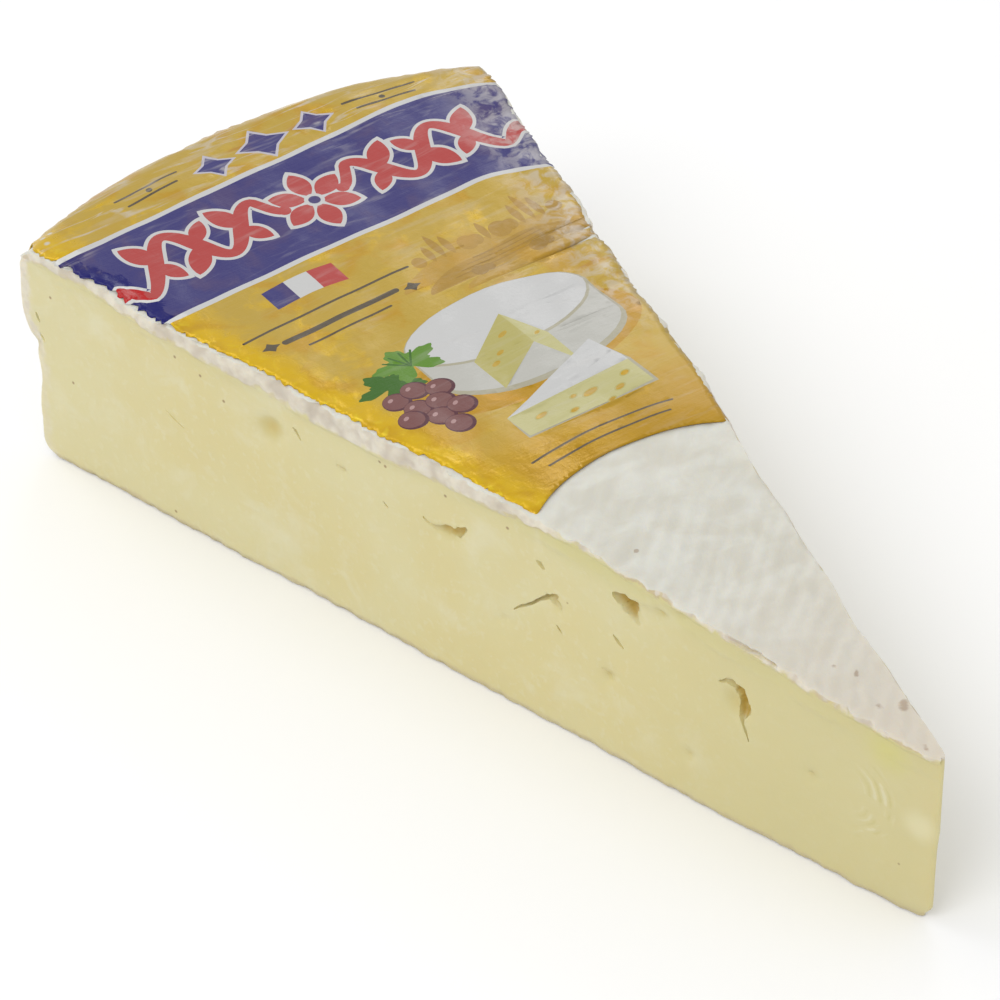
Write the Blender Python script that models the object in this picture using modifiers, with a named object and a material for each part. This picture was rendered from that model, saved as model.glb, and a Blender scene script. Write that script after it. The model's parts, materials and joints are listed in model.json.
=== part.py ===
"""A wedge of soft white-rind cheese, cut from a large flat wheel, with its foil label on top.

The wedge lies as it does on a table. Metres, +Z up, tip towards +X, rim towards -X.
The two cut faces look towards -Y (the near one) and +Y (the far one).
Positions are first worked out from the tip: r is the distance from it, s runs from -1 at the
near cut to 1 at the far cut, and z is the height.
"""
import math
from collections import namedtuple

import bmesh
import bpy
from mathutils import Matrix, Vector

MM = 0.001

# The wheel that the wedge was cut from
CUT_RADIUS = 159.1 * MM
RIM_SWELL = 3.3 * MM
HALF_ANGLE = math.radians(14.33)
TIP_HEIGHT = 28.8 * MM
CROWN_HEIGHT = 35.2 * MM
RIM_HEIGHT = 36.9 * MM
CROWN_START = 75 * MM
RIM_RISE_START = 126 * MM
RIM_RISE_END = 152 * MM

# The rim's upright profile: round corners, a fuller top and a waist
TOP_CORNER = 5.0 * MM
BOTTOM_CORNER = 3.0 * MM
RIM_LEAN = 1.6 * MM
RIM_WAIST = 0.5 * MM
WAIST_HEIGHT = 16 * MM
FAR_CORNER_DROP = 0.9 * MM

# The tip: not quite sharp, with a small step at half height and its foot worn off
TIP_WIDTH = 1.0 * MM
TIP_STEP = 0.3 * MM
TIP_STEP_HEIGHT = 14 * MM
TIP_FOOT = 1.3 * MM

# The cut faces
RIND_THICKNESS = 3.2 * MM
RIND_PROUD = 0.35 * MM
CUT_TOP_EDGE = 0.5 * MM
CUT_FOOT_EDGE = 0.2 * MM
CUT_SWELL = 0.3 * MM
CUT_FLARE = 0.45 * MM

# The far cut's slow wave along its top edge: how far it stands out, around a distance from the tip
Wave = namedtuple("Wave", "out centre width")
FAR_WAVES = [
    Wave(-0.8 * MM, 54 * MM, 16 * MM),
    Wave(-0.4 * MM, 94 * MM, 14 * MM),
    Wave(0.5 * MM, 122 * MM, 9 * MM),
    Wave(0.4 * MM, 11 * MM, 9 * MM),
]

# The rind's slow unevenness on the top and the rim
TOP_SWELL = 0.3 * MM
RIM_RIPPLE = 0.4 * MM

# The foil label
LABEL_GAP = 0.35 * MM
LABEL_THICKNESS = 0.25 * MM
LABEL_ARC_CENTRE = 37.0 * MM
LABEL_ARC_RADIUS = 29.6 * MM
LABEL_REACH = 0.99
LABEL_WRAP = 9.0 * MM
PLEATS = 23
PLEAT_DEPTH = 0.6 * MM

# How finely each surface is divided
CHEESE_COLUMNS = 48
CHEESE_ROWS_ACROSS = 14
CHEESE_ROWS_UP = 12
LABEL_TOP_COLUMNS = 26
LABEL_CORNER_COLUMNS = 5
LABEL_SIDE_COLUMNS = 3
LABEL_ROWS_ACROSS = 16

# An eye in the paste: where it opens on the cut face, its width, height and depth, and its lean
Eye = namedtuple("Eye", "side r z width height depth lean")
NEAR_EYES = [
    Eye(-1, 110.0, 26.3, 7.0, 3.0, 1.1, 8),
    Eye(-1, 79.3, 25.2, 7.2, 3.4, 2.4, 14),
    Eye(-1, 75.4, 26.6, 3.0, 2.6, 1.6, -30),
    Eye(-1, 64.6, 19.5, 8.0, 1.3, 1.5, 40),
    Eye(-1, 61.4, 21.6, 2.8, 2.0, 1.4, 0),
    Eye(-1, 49.3, 27.6, 5.0, 4.2, 3.0, 20),
    Eye(-1, 43.4, 29.0, 3.0, 1.8, 1.0, 10),
    Eye(-1, 52.3, 13.3, 3.4, 2.0, 0.9, 0),
    Eye(-1, 31.9, 21.6, 4.6, 2.4, 2.6, -35),
    Eye(-1, 29.6, 18.4, 2.4, 5.0, 2.6, 12),
    Eye(-1, 38.4, 7.7, 2.4, 1.6, 1.0, 0),
]
FAR_EYES = [
    Eye(1, 128.0, 22.0, 4.6, 3.0, 2.0, 15),
    Eye(1, 103.0, 12.5, 6.4, 2.4, 2.2, -20),
    Eye(1, 91.0, 26.0, 3.6, 2.6, 1.6, 30),
    Eye(1, 71.0, 18.0, 7.0, 3.2, 2.4, 25),
    Eye(1, 54.5, 24.5, 4.0, 3.4, 2.4, -35),
    Eye(1, 46.0, 11.0, 3.0, 2.0, 1.2, 0),
    Eye(1, 27.0, 16.5, 3.4, 4.4, 2.2, -15),
]
EYE_SUBDIVISIONS = 2


def smooth_step(t):
    """Rises from 0 to 1 between t = 0 and t = 1, with level ends."""
    t = min(max(t, 0.0), 1.0)
    return t * t * (3.0 - 2.0 * t)


def hump(x, centre, width):
    """A round hump of height 1 at the centre."""
    return math.exp(-((x - centre) / width) ** 2)


def swell(a, b, wave):
    """Slow unevenness between about -1 and 1 over a surface, with hills about one wave apart."""
    turn = 2.0 * math.pi / wave
    slow = math.sin(turn * (0.83 * a + 0.41 * b) + 0.7) * math.cos(turn * (0.35 * a - 0.77 * b) + 2.1)
    fine = math.sin(turn * (1.9 * a - 1.3 * b) + 4.0) * math.sin(turn * (1.1 * a + 2.3 * b) + 1.2)
    return 0.7 * slow + 0.3 * fine


def top_height(r):
    """The rind's height above the table: low at the tip, level along the middle, raised at the rim."""
    rise = (CROWN_HEIGHT - TIP_HEIGHT) * smooth_step(r / CROWN_START)
    lip = (RIM_HEIGHT - CROWN_HEIGHT) * smooth_step((r - RIM_RISE_START) / (RIM_RISE_END - RIM_RISE_START))
    return TIP_HEIGHT + rise + lip


def top_unevenness(r, s):
    """How far the rind lies above or below its even height."""
    return TOP_SWELL * swell(r, r * s * HALF_ANGLE, 38 * MM) * smooth_step(r / (20 * MM))


def rim_reach(s):
    """The rim's greatest distance from the tip: fullest in the middle, drawn in at the two cuts."""
    drawn_in = RIM_SWELL * abs(s) ** 2.5
    if s > 0:
        drawn_in += FAR_CORNER_DROP * s ** 4
    return CUT_RADIUS + RIM_SWELL - drawn_in


def rim_radius(s, z):
    """The rim's distance from the tip at a height, with its round corners, waist and ripples."""
    radius = rim_reach(s)
    radius -= RIM_LEAN * (1.0 - smooth_step((z - 14 * MM) / (12 * MM)))
    radius -= RIM_WAIST * hump(z, WAIST_HEIGHT, 5 * MM)
    from_corner = z - (RIM_HEIGHT - TOP_CORNER)
    ripple = RIM_RIPPLE * swell(s * 40 * MM, z, 27 * MM)
    radius += ripple * (1.0 - smooth_step(from_corner / TOP_CORNER + 1.0))
    if from_corner > 0:
        radius -= TOP_CORNER - math.sqrt(max(TOP_CORNER ** 2 - from_corner ** 2, 0.0))
    to_foot = BOTTOM_CORNER - z
    if to_foot > 0:
        radius -= BOTTOM_CORNER - math.sqrt(max(BOTTOM_CORNER ** 2 - to_foot ** 2, 0.0))
    return radius


def cut_offset(side, r, z):
    """How far a cut face stands out from its true plane at a distance and a height."""
    top = top_height(r)
    depth = top - z
    offset = CUT_SWELL * swell(r, z, 52 * MM)
    rind = 1.0 - smooth_step((depth - RIND_THICKNESS) / (1.5 * MM))
    offset += RIND_PROUD * rind * (0.6 + 0.4 * math.sin(r / (2.3 * MM)))
    offset -= CUT_TOP_EDGE * (1.0 - smooth_step(depth / (0.9 * MM)))
    offset -= CUT_FOOT_EDGE * (1.0 - smooth_step(z / (0.9 * MM)))
    offset += CUT_FLARE * (1.0 - z / top) ** 2
    if side > 0:
        upper = smooth_step(z / top)
        offset += sum(wave.out * upper * hump(r, wave.centre, wave.width) for wave in FAR_WAVES)
    return offset * smooth_step((r + 3 * MM) / (12 * MM))


def tip_setback(r, z):
    """How far the tip is worn back towards the rim at a height."""
    step = TIP_STEP * (1.0 - smooth_step((z - TIP_STEP_HEIGHT + 2 * MM) / (4 * MM)))
    foot = TIP_FOOT * (1.0 - smooth_step(z / (2.6 * MM)))
    return (step + foot) * math.exp(-r / (5 * MM))


def from_tip(r, s, z, sideways=0.0):
    """A point's place, with the tip at the origin and the rim towards -X."""
    angle = s * HALF_ANGLE
    along = r * math.cos(angle) + tip_setback(r, z)
    across = r * math.sin(angle) + s * TIP_WIDTH / 2 + s * sideways * math.cos(HALF_ANGLE)
    return Vector((-along + abs(s) * sideways * math.sin(HALF_ANGLE), across, z))


def cheese_point(u, s, w):
    """Maps a point of the unit block, u along, s across and w up, onto the wedge."""
    level = (1.0 - math.cos(math.pi * w)) / 2
    radius = rim_radius(s, level * RIM_HEIGHT)
    r = u * radius
    z = level * (top_height(r) + top_unevenness(r, s))
    side = 1 if s > 0 else -1
    return from_tip(r, s, z, cut_offset(side, r, z))


def divide_along(bm, axis, pieces):
    """Cuts every edge that runs along one axis of a block into equal pieces."""
    edges = [e for e in bm.edges if abs((e.verts[0].co - e.verts[1].co)[axis]) > 0.5]
    bmesh.ops.subdivide_edges(bm, edges=edges, cuts=pieces - 1, use_grid_fill=True)


def add_object(name, bm, collection):
    """Makes a smooth-shaded object of a finished shape."""
    bmesh.ops.recalc_face_normals(bm, faces=bm.faces)
    mesh = bpy.data.meshes.new(name)
    bm.to_mesh(mesh)
    bm.free()
    mesh.shade_smooth()
    mesh.set_sharp_from_angle(angle=math.radians(40))
    obj = bpy.data.objects.new(name, mesh)
    collection.objects.link(obj)
    return obj


def make_cheese(collection):
    """The wedge itself: a divided block bent onto the wedge's form."""
    bm = bmesh.new()
    bmesh.ops.create_cube(bm, size=1.0)
    divide_along(bm, 0, CHEESE_COLUMNS)
    divide_along(bm, 1, CHEESE_ROWS_ACROSS)
    divide_along(bm, 2, CHEESE_ROWS_UP)
    for vert in bm.verts:
        u = vert.co.x + 0.5
        s = 2.0 * vert.co.y
        w = vert.co.z + 0.5
        vert.co = cheese_point(u, s, w)
    return add_object("cheese", bm, collection)


def eye_centre(eye):
    """Where an eye opens on its cut face, and the face's outward direction."""
    r = eye.r * MM
    z = eye.z * MM
    place = from_tip(r, eye.side, z, cut_offset(eye.side, r, z))
    outward = Vector((math.sin(HALF_ANGLE), eye.side * math.cos(HALF_ANGLE), 0))
    return place, outward


def make_eye_cutter(eye, index, collection):
    """A lumpy flattened ball, centred on the cut face, that hollows out one eye."""
    place, outward = eye_centre(eye)
    along = Vector((0, 0, 1)).cross(outward)
    frame = Matrix((along, Vector((0, 0, 1)), outward)).transposed().to_4x4()
    lean = Matrix.Rotation(math.radians(eye.lean), 4, "Z")
    size = Matrix.Diagonal((eye.width * MM / 2, eye.height * MM / 2, eye.depth * MM, 1))
    bm = bmesh.new()
    bmesh.ops.create_icosphere(bm, subdivisions=EYE_SUBDIVISIONS, radius=1.0)
    for vert in bm.verts:
        lump = 1.0 + 0.16 * math.sin(5.0 * vert.co.x + 1.7 * index) * math.cos(4.0 * vert.co.y + index)
        vert.co *= lump
    bmesh.ops.transform(bm, matrix=Matrix.Translation(place) @ frame @ lean @ size, verts=bm.verts)
    cutter = add_object(f"eye_cutter_{index}", bm, collection)
    cutter.hide_render = True
    cutter.display_type = "WIRE"
    return cutter


def cut_eyes(cheese, collection):
    """Hollows every eye out of the two cut faces."""
    for index, eye in enumerate(NEAR_EYES + FAR_EYES):
        make_eye_cutter(eye, index, collection)
    cut = cheese.modifiers.new("eyes", "BOOLEAN")
    cut.operation = "DIFFERENCE"
    cut.operand_type = "COLLECTION"
    cut.collection = collection


def label_inner_edge(s):
    """The distance from the tip of the label's inner edge, an arc about its own centre."""
    angle = s * HALF_ANGLE
    across = LABEL_ARC_CENTRE * math.sin(angle)
    return LABEL_ARC_CENTRE * math.cos(angle) + math.sqrt(LABEL_ARC_RADIUS ** 2 - across ** 2)


def label_section(column, s):
    """One point of the label's upright section, on the cheese: distance, height and outward angle."""
    corner_at = rim_reach(s) - TOP_CORNER
    if column <= LABEL_TOP_COLUMNS:
        inner = label_inner_edge(s)
        r = inner + (corner_at - inner) * column / LABEL_TOP_COLUMNS
        return r, top_height(r) + top_unevenness(r, s), math.pi / 2
    column -= LABEL_TOP_COLUMNS
    lifted = top_unevenness(corner_at, s)
    if column <= LABEL_CORNER_COLUMNS:
        angle = math.pi / 2 * (1.0 - column / LABEL_CORNER_COLUMNS)
        r = corner_at + TOP_CORNER * math.cos(angle)
        return r, RIM_HEIGHT - TOP_CORNER + TOP_CORNER * math.sin(angle) + lifted, angle
    column -= LABEL_CORNER_COLUMNS
    down = (LABEL_WRAP - TOP_CORNER) * column / LABEL_SIDE_COLUMNS
    return rim_reach(s), RIM_HEIGHT - TOP_CORNER - down + lifted, 0.0


def pleat(s, outward_angle):
    """How far a fold of the label's turned-down edge stands off the rim."""
    fold = abs(math.sin(math.pi * PLEATS * (s + 0.06 * math.sin(9 * s)) / 2)) ** 3
    return PLEAT_DEPTH * fold * math.cos(outward_angle)


def label_point(column, s):
    """Maps a point of the label's flat grid onto the cheese, a small gap clear of it."""
    r, z, angle = label_section(column, s)
    clear = LABEL_GAP + LABEL_THICKNESS / 2 + pleat(s, angle)
    sideways = cut_offset(1 if s > 0 else -1, r, min(z, top_height(r)))
    return from_tip(r + clear * math.cos(angle), s, z + clear * math.sin(angle), sideways)


def make_label(collection):
    """The label: a flat grid laid over the top and down over the rim's corner, made solid."""
    columns = LABEL_TOP_COLUMNS + LABEL_CORNER_COLUMNS + LABEL_SIDE_COLUMNS
    bm = bmesh.new()
    bmesh.ops.create_grid(bm, x_segments=columns, y_segments=LABEL_ROWS_ACROSS, size=0.5)
    for vert in bm.verts:
        column = round((vert.co.x + 0.5) * columns)
        s = 2.0 * vert.co.y * LABEL_REACH
        vert.co = label_point(column, s)
    label = add_object("label", bm, collection)
    shell = label.modifiers.new("thickness", "SOLIDIFY")
    shell.thickness = LABEL_THICKNESS
    shell.offset = 0.0
    return label


def give_material(obj, name, colour, roughness, metallic):
    """Gives an object a plain material of its own."""
    material = bpy.data.materials.new(name)
    material.use_nodes = True
    surface = material.node_tree.nodes["Principled BSDF"]
    surface.inputs["Base Color"].default_value = (*colour, 1.0)
    surface.inputs["Roughness"].default_value = roughness
    surface.inputs["Metallic"].default_value = metallic
    obj.data.materials.append(material)


def stand_at_origin(objects, guides):
    """Moves everything alike, so that the middle of the wedge's foot print is the origin."""
    cheese = objects[0].data.vertices
    xs = [v.co.x for v in cheese]
    ys = [v.co.y for v in cheese]
    zs = [v.co.z for v in cheese]
    shift = Vector((-(min(xs) + max(xs)) / 2, -(min(ys) + max(ys)) / 2, -min(zs)))
    for obj in objects + guides:
        obj.data.transform(Matrix.Translation(shift))


def clear_scene():
    """Removes whatever the scene holds."""
    for obj in list(bpy.data.objects):
        bpy.data.objects.remove(obj, do_unlink=True)


def make_collection(name):
    """Adds an empty collection to the scene."""
    collection = bpy.data.collections.new(name)
    bpy.context.scene.collection.children.link(collection)
    return collection


def main():
    clear_scene()
    parts = make_collection("cheese_wedge")
    cutters = make_collection("cutters")
    cheese = make_cheese(parts)
    label = make_label(parts)
    cut_eyes(cheese, cutters)
    stand_at_origin([cheese, label], list(cutters.objects))
    give_material(cheese, "soft_cheese", (0.80, 0.73, 0.46), 0.45, 0.0)
    give_material(label, "printed_foil", (0.62, 0.42, 0.08), 0.35, 0.2)


main()
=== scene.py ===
"""The looks of a cut wedge of soft white-rind cheese with a printed foil label.

The wedge lies as it does on a table: tip towards +X, rim towards -X, near cut towards -Y.
Places on it are worked out from the tip: r is the distance from it, s runs from -1 at the
near cut to 1 at the far cut, and z is the height. Metres throughout, unless a name says mm.
"""
import json
import math
import random
from collections import namedtuple

import bmesh
import bpy
import numpy as np
from mathutils import Matrix, Vector, noise
from mathutils.geometry import delaunay_2d_cdt

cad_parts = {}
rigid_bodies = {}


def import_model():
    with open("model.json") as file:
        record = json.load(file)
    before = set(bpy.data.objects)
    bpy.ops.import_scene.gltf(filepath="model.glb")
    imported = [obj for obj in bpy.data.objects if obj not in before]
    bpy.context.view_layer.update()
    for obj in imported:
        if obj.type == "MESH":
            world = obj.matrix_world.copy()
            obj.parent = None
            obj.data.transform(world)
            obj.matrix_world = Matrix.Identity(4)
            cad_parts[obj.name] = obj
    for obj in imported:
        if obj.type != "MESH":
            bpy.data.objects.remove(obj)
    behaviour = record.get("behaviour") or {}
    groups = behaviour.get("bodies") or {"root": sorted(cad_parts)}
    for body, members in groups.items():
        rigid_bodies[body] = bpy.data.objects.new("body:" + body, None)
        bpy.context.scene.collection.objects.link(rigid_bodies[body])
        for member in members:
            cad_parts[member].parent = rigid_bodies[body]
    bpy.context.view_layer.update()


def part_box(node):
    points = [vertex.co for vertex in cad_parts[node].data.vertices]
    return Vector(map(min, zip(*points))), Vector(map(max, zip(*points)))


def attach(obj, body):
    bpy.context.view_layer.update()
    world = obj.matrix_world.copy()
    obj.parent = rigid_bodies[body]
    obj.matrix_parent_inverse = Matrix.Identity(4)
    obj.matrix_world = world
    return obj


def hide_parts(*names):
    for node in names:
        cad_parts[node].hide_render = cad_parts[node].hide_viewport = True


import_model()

MM = 0.001

# The wedge's form, as it was built
CUT_RADIUS = 159.1 * MM
RIM_SWELL = 3.3 * MM
HALF_ANGLE = math.radians(14.33)
TIP_HEIGHT = 28.8 * MM
CROWN_HEIGHT = 35.2 * MM
RIM_HEIGHT = 36.9 * MM
CROWN_START = 75 * MM
RIM_RISE_START = 126 * MM
RIM_RISE_END = 152 * MM
TOP_CORNER = 5.0 * MM
BOTTOM_CORNER = 3.0 * MM
RIM_LEAN = 1.6 * MM
RIM_WAIST = 0.5 * MM
WAIST_HEIGHT = 16 * MM
FAR_CORNER_DROP = 0.9 * MM
TIP_WIDTH = 1.0 * MM
TIP_STEP = 0.3 * MM
TIP_STEP_HEIGHT = 14 * MM
TIP_FOOT = 1.3 * MM
NOSE_PINCH = 0.32
NOSE_PINCH_REACH = 0.45 * MM
NOSE_LENGTH = 0.22 * MM
NOSE_REACH = 0.3 * MM
RIND_THICKNESS = 3.2 * MM
RIND_PROUD = 0.35 * MM
CUT_TOP_EDGE = 0.5 * MM
CUT_FOOT_EDGE = 0.2 * MM
CUT_SWELL = 0.3 * MM
CUT_FLARE = 0.45 * MM
TOP_SWELL = 0.3 * MM
RIM_RIPPLE = 0.4 * MM
Wave = namedtuple("Wave", "out centre width")
FAR_WAVES = [
    Wave(-0.8 * MM, 54 * MM, 16 * MM),
    Wave(-0.4 * MM, 94 * MM, 14 * MM),
    Wave(0.5 * MM, 122 * MM, 9 * MM),
    Wave(0.4 * MM, 11 * MM, 9 * MM),
]

# The eyes in the paste: side, distance and height in mm, width, height and depth in mm, lean in degrees
Eye = namedtuple("Eye", "side r z width height depth lean")
FAR_EYES = [
    Eye(1, 128.0, 22.0, 4.6, 3.0, 2.0, 15),
    Eye(1, 103.0, 12.5, 6.4, 2.4, 2.2, -20),
    Eye(1, 91.0, 26.0, 3.6, 2.6, 1.6, 30),
    Eye(1, 71.0, 18.0, 7.0, 3.2, 2.4, 25),
    Eye(1, 54.5, 24.5, 4.0, 3.4, 2.4, -35),
    Eye(1, 46.0, 11.0, 3.0, 2.0, 1.2, 0),
    Eye(1, 27.0, 16.5, 3.4, 4.4, 2.2, -15),
]
# The near cut's eyes as they look: each a path of (distance, height, half width, depth) in mm
NEAR_BURROWS = [
    [(83.6, 24.9, 0.20, 0.3), (82.2, 24.0, 0.35, 0.5), (80.8, 24.0, 0.75, 1.0), (79.4, 24.5, 1.00, 1.5),
     (78.0, 24.9, 0.95, 1.5), (76.8, 25.8, 0.60, 0.9), (76.0, 26.6, 0.25, 0.3)],
    [(51.4, 28.2, 0.35, 0.5), (50.4, 28.1, 0.95, 1.8), (49.1, 27.7, 1.45, 2.8), (48.5, 26.6, 1.10, 2.3),
     (47.9, 25.7, 0.65, 1.3), (46.9, 25.1, 0.25, 0.4)],
    [(48.9, 27.9, 0.60, 1.4), (47.8, 28.5, 0.50, 1.0), (47.0, 28.6, 0.22, 0.3)],
    [(68.3, 16.4, 0.10, 0.3), (67.0, 17.7, 0.20, 0.5), (65.4, 18.9, 0.26, 0.8), (63.9, 20.4, 0.24, 0.8),
     (62.6, 21.5, 0.36, 0.9), (61.4, 22.2, 0.55, 1.1), (60.6, 22.9, 0.25, 0.5)],
    [(61.8, 22.0, 0.50, 1.0), (61.0, 21.3, 0.70, 1.1), (60.3, 20.4, 0.25, 0.4)],
    [(34.0, 22.6, 0.15, 0.3), (32.9, 23.1, 0.40, 0.8), (31.7, 23.1, 0.70, 1.4), (30.7, 22.4, 1.00, 2.0),
     (30.1, 21.2, 1.15, 2.4), (30.0, 20.0, 1.05, 2.2), (30.2, 18.9, 0.75, 1.6), (30.1, 17.9, 0.42, 0.9),
     (29.4, 16.6, 0.20, 0.4), (28.8, 15.2, 0.10, 0.2)],
    [(44.5, 29.4, 0.20, 0.3), (43.6, 28.9, 0.50, 0.8), (42.8, 28.6, 0.25, 0.4)],
    [(64.3, 27.0, 0.20, 0.3), (63.6, 26.6, 0.42, 0.7), (62.9, 26.1, 0.20, 0.3)],
    [(60.8, 17.7, 0.12, 0.2), (60.3, 17.2, 0.22, 0.5), (59.9, 16.7, 0.12, 0.2)],
    [(51.3, 21.2, 0.12, 0.2), (50.5, 20.5, 0.30, 0.5), (49.5, 19.7, 0.14, 0.3)],
    [(53.2, 14.4, 0.15, 0.2), (52.2, 13.5, 0.42, 0.6), (51.3, 12.8, 0.20, 0.3)],
    [(38.9, 8.0, 0.15, 0.2), (38.4, 7.6, 0.40, 0.5), (37.9, 7.2, 0.15, 0.2)],
    [(107.1, 28.6, 0.12, 0.3), (106.4, 28.1, 0.26, 0.6), (105.6, 27.0, 0.10, 0.2)],
    [(99.2, 26.0, 0.18, 0.3), (98.3, 25.5, 0.36, 0.6), (97.4, 25.8, 0.18, 0.3)],
    [(19.5, 15.3, 0.18, 0.3), (19.0, 15.0, 0.36, 0.5), (18.3, 15.2, 0.15, 0.2)],
    [(156.8, 25.5, 0.14, 0.3), (156.5, 24.6, 0.28, 0.6), (156.2, 23.8, 0.12, 0.2)],
    [(156.6, 21.8, 0.12, 0.2), (156.1, 21.2, 0.24, 0.5), (155.6, 20.5, 0.12, 0.2)],
    [(131.5, 20.1, 0.08, 0.1), (129.8, 19.2, 0.18, 0.25), (128.0, 18.5, 0.08, 0.1)],
    [(90.6, 24.1, 0.10, 0.2), (90.2, 23.6, 0.22, 0.4), (89.8, 23.3, 0.10, 0.2)],
]
# Soft hollows in the near cut: distance and height, width, height and depth in mm, lean in degrees
Hollow = namedtuple("Hollow", "r z width height depth lean")
NEAR_HOLLOWS = [
    Hollow(111.8, 26.0, 4.6, 3.6, 1.05, 30),
    Hollow(79.6, 23.6, 4.4, 2.0, 0.60, 10),
    Hollow(47.8, 26.6, 3.0, 2.4, 0.45, 40),
    Hollow(31.7, 20.4, 2.6, 4.0, 0.80, 8),
    Hollow(43.6, 28.8, 3.0, 1.9, 0.60, 20),
    Hollow(40.4, 30.4, 2.4, 1.3, 0.45, 10),
    Hollow(52.2, 13.5, 2.8, 1.8, 0.60, 40),
    Hollow(70.2, 14.1, 2.2, 1.3, 0.45, 20),
    Hollow(60.9, 20.8, 2.2, 2.0, 0.45, 0),
    Hollow(38.4, 7.6, 2.2, 1.4, 0.40, 20),
    Hollow(98.2, 25.6, 2.4, 1.4, 0.35, 0),
    Hollow(18.8, 14.9, 2.4, 1.8, 0.40, 0),
    Hollow(157.6, 19.6, 2.2, 2.2, 0.60, 0),
    Hollow(152.8, 9.7, 2.2, 5.0, -0.25, 10),
]
# Brown flecks: distance and height in mm on the near cut, or distance in mm, share across and half
# width in mm on the rind, where they are short strokes that all run one way
NEAR_FLECKS = [(120.0, 26.9), (124.2, 29.4), (129.0, 30.4), (131.0, 1.9), (91.0, 30.7), (90.0, 30.4),
               (79.6, 30.4), (150.4, 15.7), (153.4, 29.5), (69.0, 30.2)]
RIND_FLECKS = [(19.8, -0.22, 0.30), (17.4, 0.14, 0.24), (11.5, -0.17, 0.30), (9.9, 0.70, 0.50),
               (2.6, -0.4, 0.36), (50.5, -0.73, 0.16)]
FLECK_STROKE = Vector((-0.82, 0.57, 0.0))
# Marks in the near cut's paste: distance and height in mm
SWIRL_CENTRE = (14.0, 15.8)
OLIVE_SPOT = (7.5, 25.5)
TIP_SMEAR = (2.2, 15.8)
SWIRL_SPACING = 1.5 * MM

# How finely the wedge is divided
COLUMNS = 400
ROWS_ACROSS = 56
ROWS_UP = 72
EYE_SUBDIVISIONS = 4
BURROW_STEP_MM = 0.25
BURROW_SIDES = 14
BURROW_SMALLEST_MM = 0.05
BURROW_RAGGED = 0.45
EYE_RAGGED = 0.42
SMALL_EYE_MM = 2.6
PINHOLES = 16
SOFTEN_RINGS = 2
SOFTEN_PASSES = 3
SOFTEN_SHARE = 0.35
SHARP_ANGLE = math.radians(62)

# The rind's cushions along a cut: how far apart, and how much a height counts in that distance
PILLOW_SIZE = 2.7 * MM
PILLOW_UPRIGHT = 0.7

# The label
LABEL_ARC_CENTRE = 37.0 * MM
LABEL_ARC_RADIUS = 29.6 * MM
LABEL_REACH = 0.99
LABEL_WRAP = 9.0 * MM
LABEL_LIFT = 0.30 * MM
LABEL_THICKNESS = 0.14 * MM
PLEATS = 23
PLEAT_DEPTH = 0.6 * MM
# The even grid that carries the sheet's relief
LABEL_STEP_MM = 0.8
GRID_ROW_SHARE = 0.87
GRID_HALF_WIDTH_MM = 44
GRID_MARGIN_MM = 6
GRID_END_MM = 175
# The sheet's own edge: how closely it is drawn, how ragged it is, and how it draws in at the rim
EDGE_STEP = 0.55 * MM
EDGE_ROUGH_MM = (-0.22, 0.18)
BAND_ROUGH_MM = (-0.50, 0.45)
NEAR_TUCK_MM = 3.4
FAR_TUCK_MM = 1.2
TUCK_LENGTH = 6 * MM
END_STEPS = 60
# How far it stands past the cuts, and how much further and more level near the rim
NEAR_OVERHANG_MM = 0.45
NEAR_CORNER_OVERHANG_MM = 0.55
NEAR_CORNER_START = 134 * MM
NEAR_CORNER_LENGTH = 14 * MM
NEAR_CORNER_LEVEL = 0.75
FAR_OVERHANG_MM = 0.7
# Small white blisters in the foil near the rim: places on the flat sheet in mm
BLISTERS = [(-35.2, 154.6), (-35.9, 152.9), (-36.6, 150.9), (-34.6, 153.2)]

# The camera, fitted to the photograph's edges. Its target is given from the tip.
CAMERA_AZIMUTH = math.radians(54.81)
CAMERA_ELEVATION = math.radians(39.28)
CAMERA_ROLL = math.radians(-1.48)
CAMERA_DISTANCE = 553.7 * MM
CAMERA_TARGET = Vector((-86.37, -4.88, 16.0)) * MM
CAMERA_LENS_MM = 144.0
FLOOR_GAP = 0.2 * MM

# What the stage does to a colour: how bright it lights it, and what a gloss adds to it
STAGE_LIGHT = 1.08
GLOSS_GLARE = 0.036


def srgb(red, green, blue, glare=0.0):
    """The surface colour that shows as a display colour, 0 to 255, under the stage's light."""
    channels = [c / 255 for c in (red, green, blue)]
    linear = [c / 12.92 if c <= 0.04045 else ((c + 0.055) / 1.055) ** 2.4 for c in channels]
    return tuple(max((c - glare) / STAGE_LIGHT, 0.003) for c in linear)


def ink(red, green, blue):
    """The same for a glossy printed surface."""
    return srgb(red, green, blue, GLOSS_GLARE)


# Form functions. They take and return arrays.


def smooth_step(t):
    """Rises from 0 to 1 between t = 0 and t = 1, with level ends."""
    t = np.clip(t, 0.0, 1.0)
    return t * t * (3.0 - 2.0 * t)


def hump(x, centre, width):
    """A round hump of height 1 at the centre."""
    return np.exp(-((x - centre) / width) ** 2)


def swell(a, b, wave):
    """Slow unevenness between about -1 and 1 over a surface, with hills about one wave apart."""
    turn = 2.0 * math.pi / wave
    slow = np.sin(turn * (0.83 * a + 0.41 * b) + 0.7) * np.cos(turn * (0.35 * a - 0.77 * b) + 2.1)
    fine = np.sin(turn * (1.9 * a - 1.3 * b) + 4.0) * np.sin(turn * (1.1 * a + 2.3 * b) + 1.2)
    return 0.7 * slow + 0.3 * fine


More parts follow.
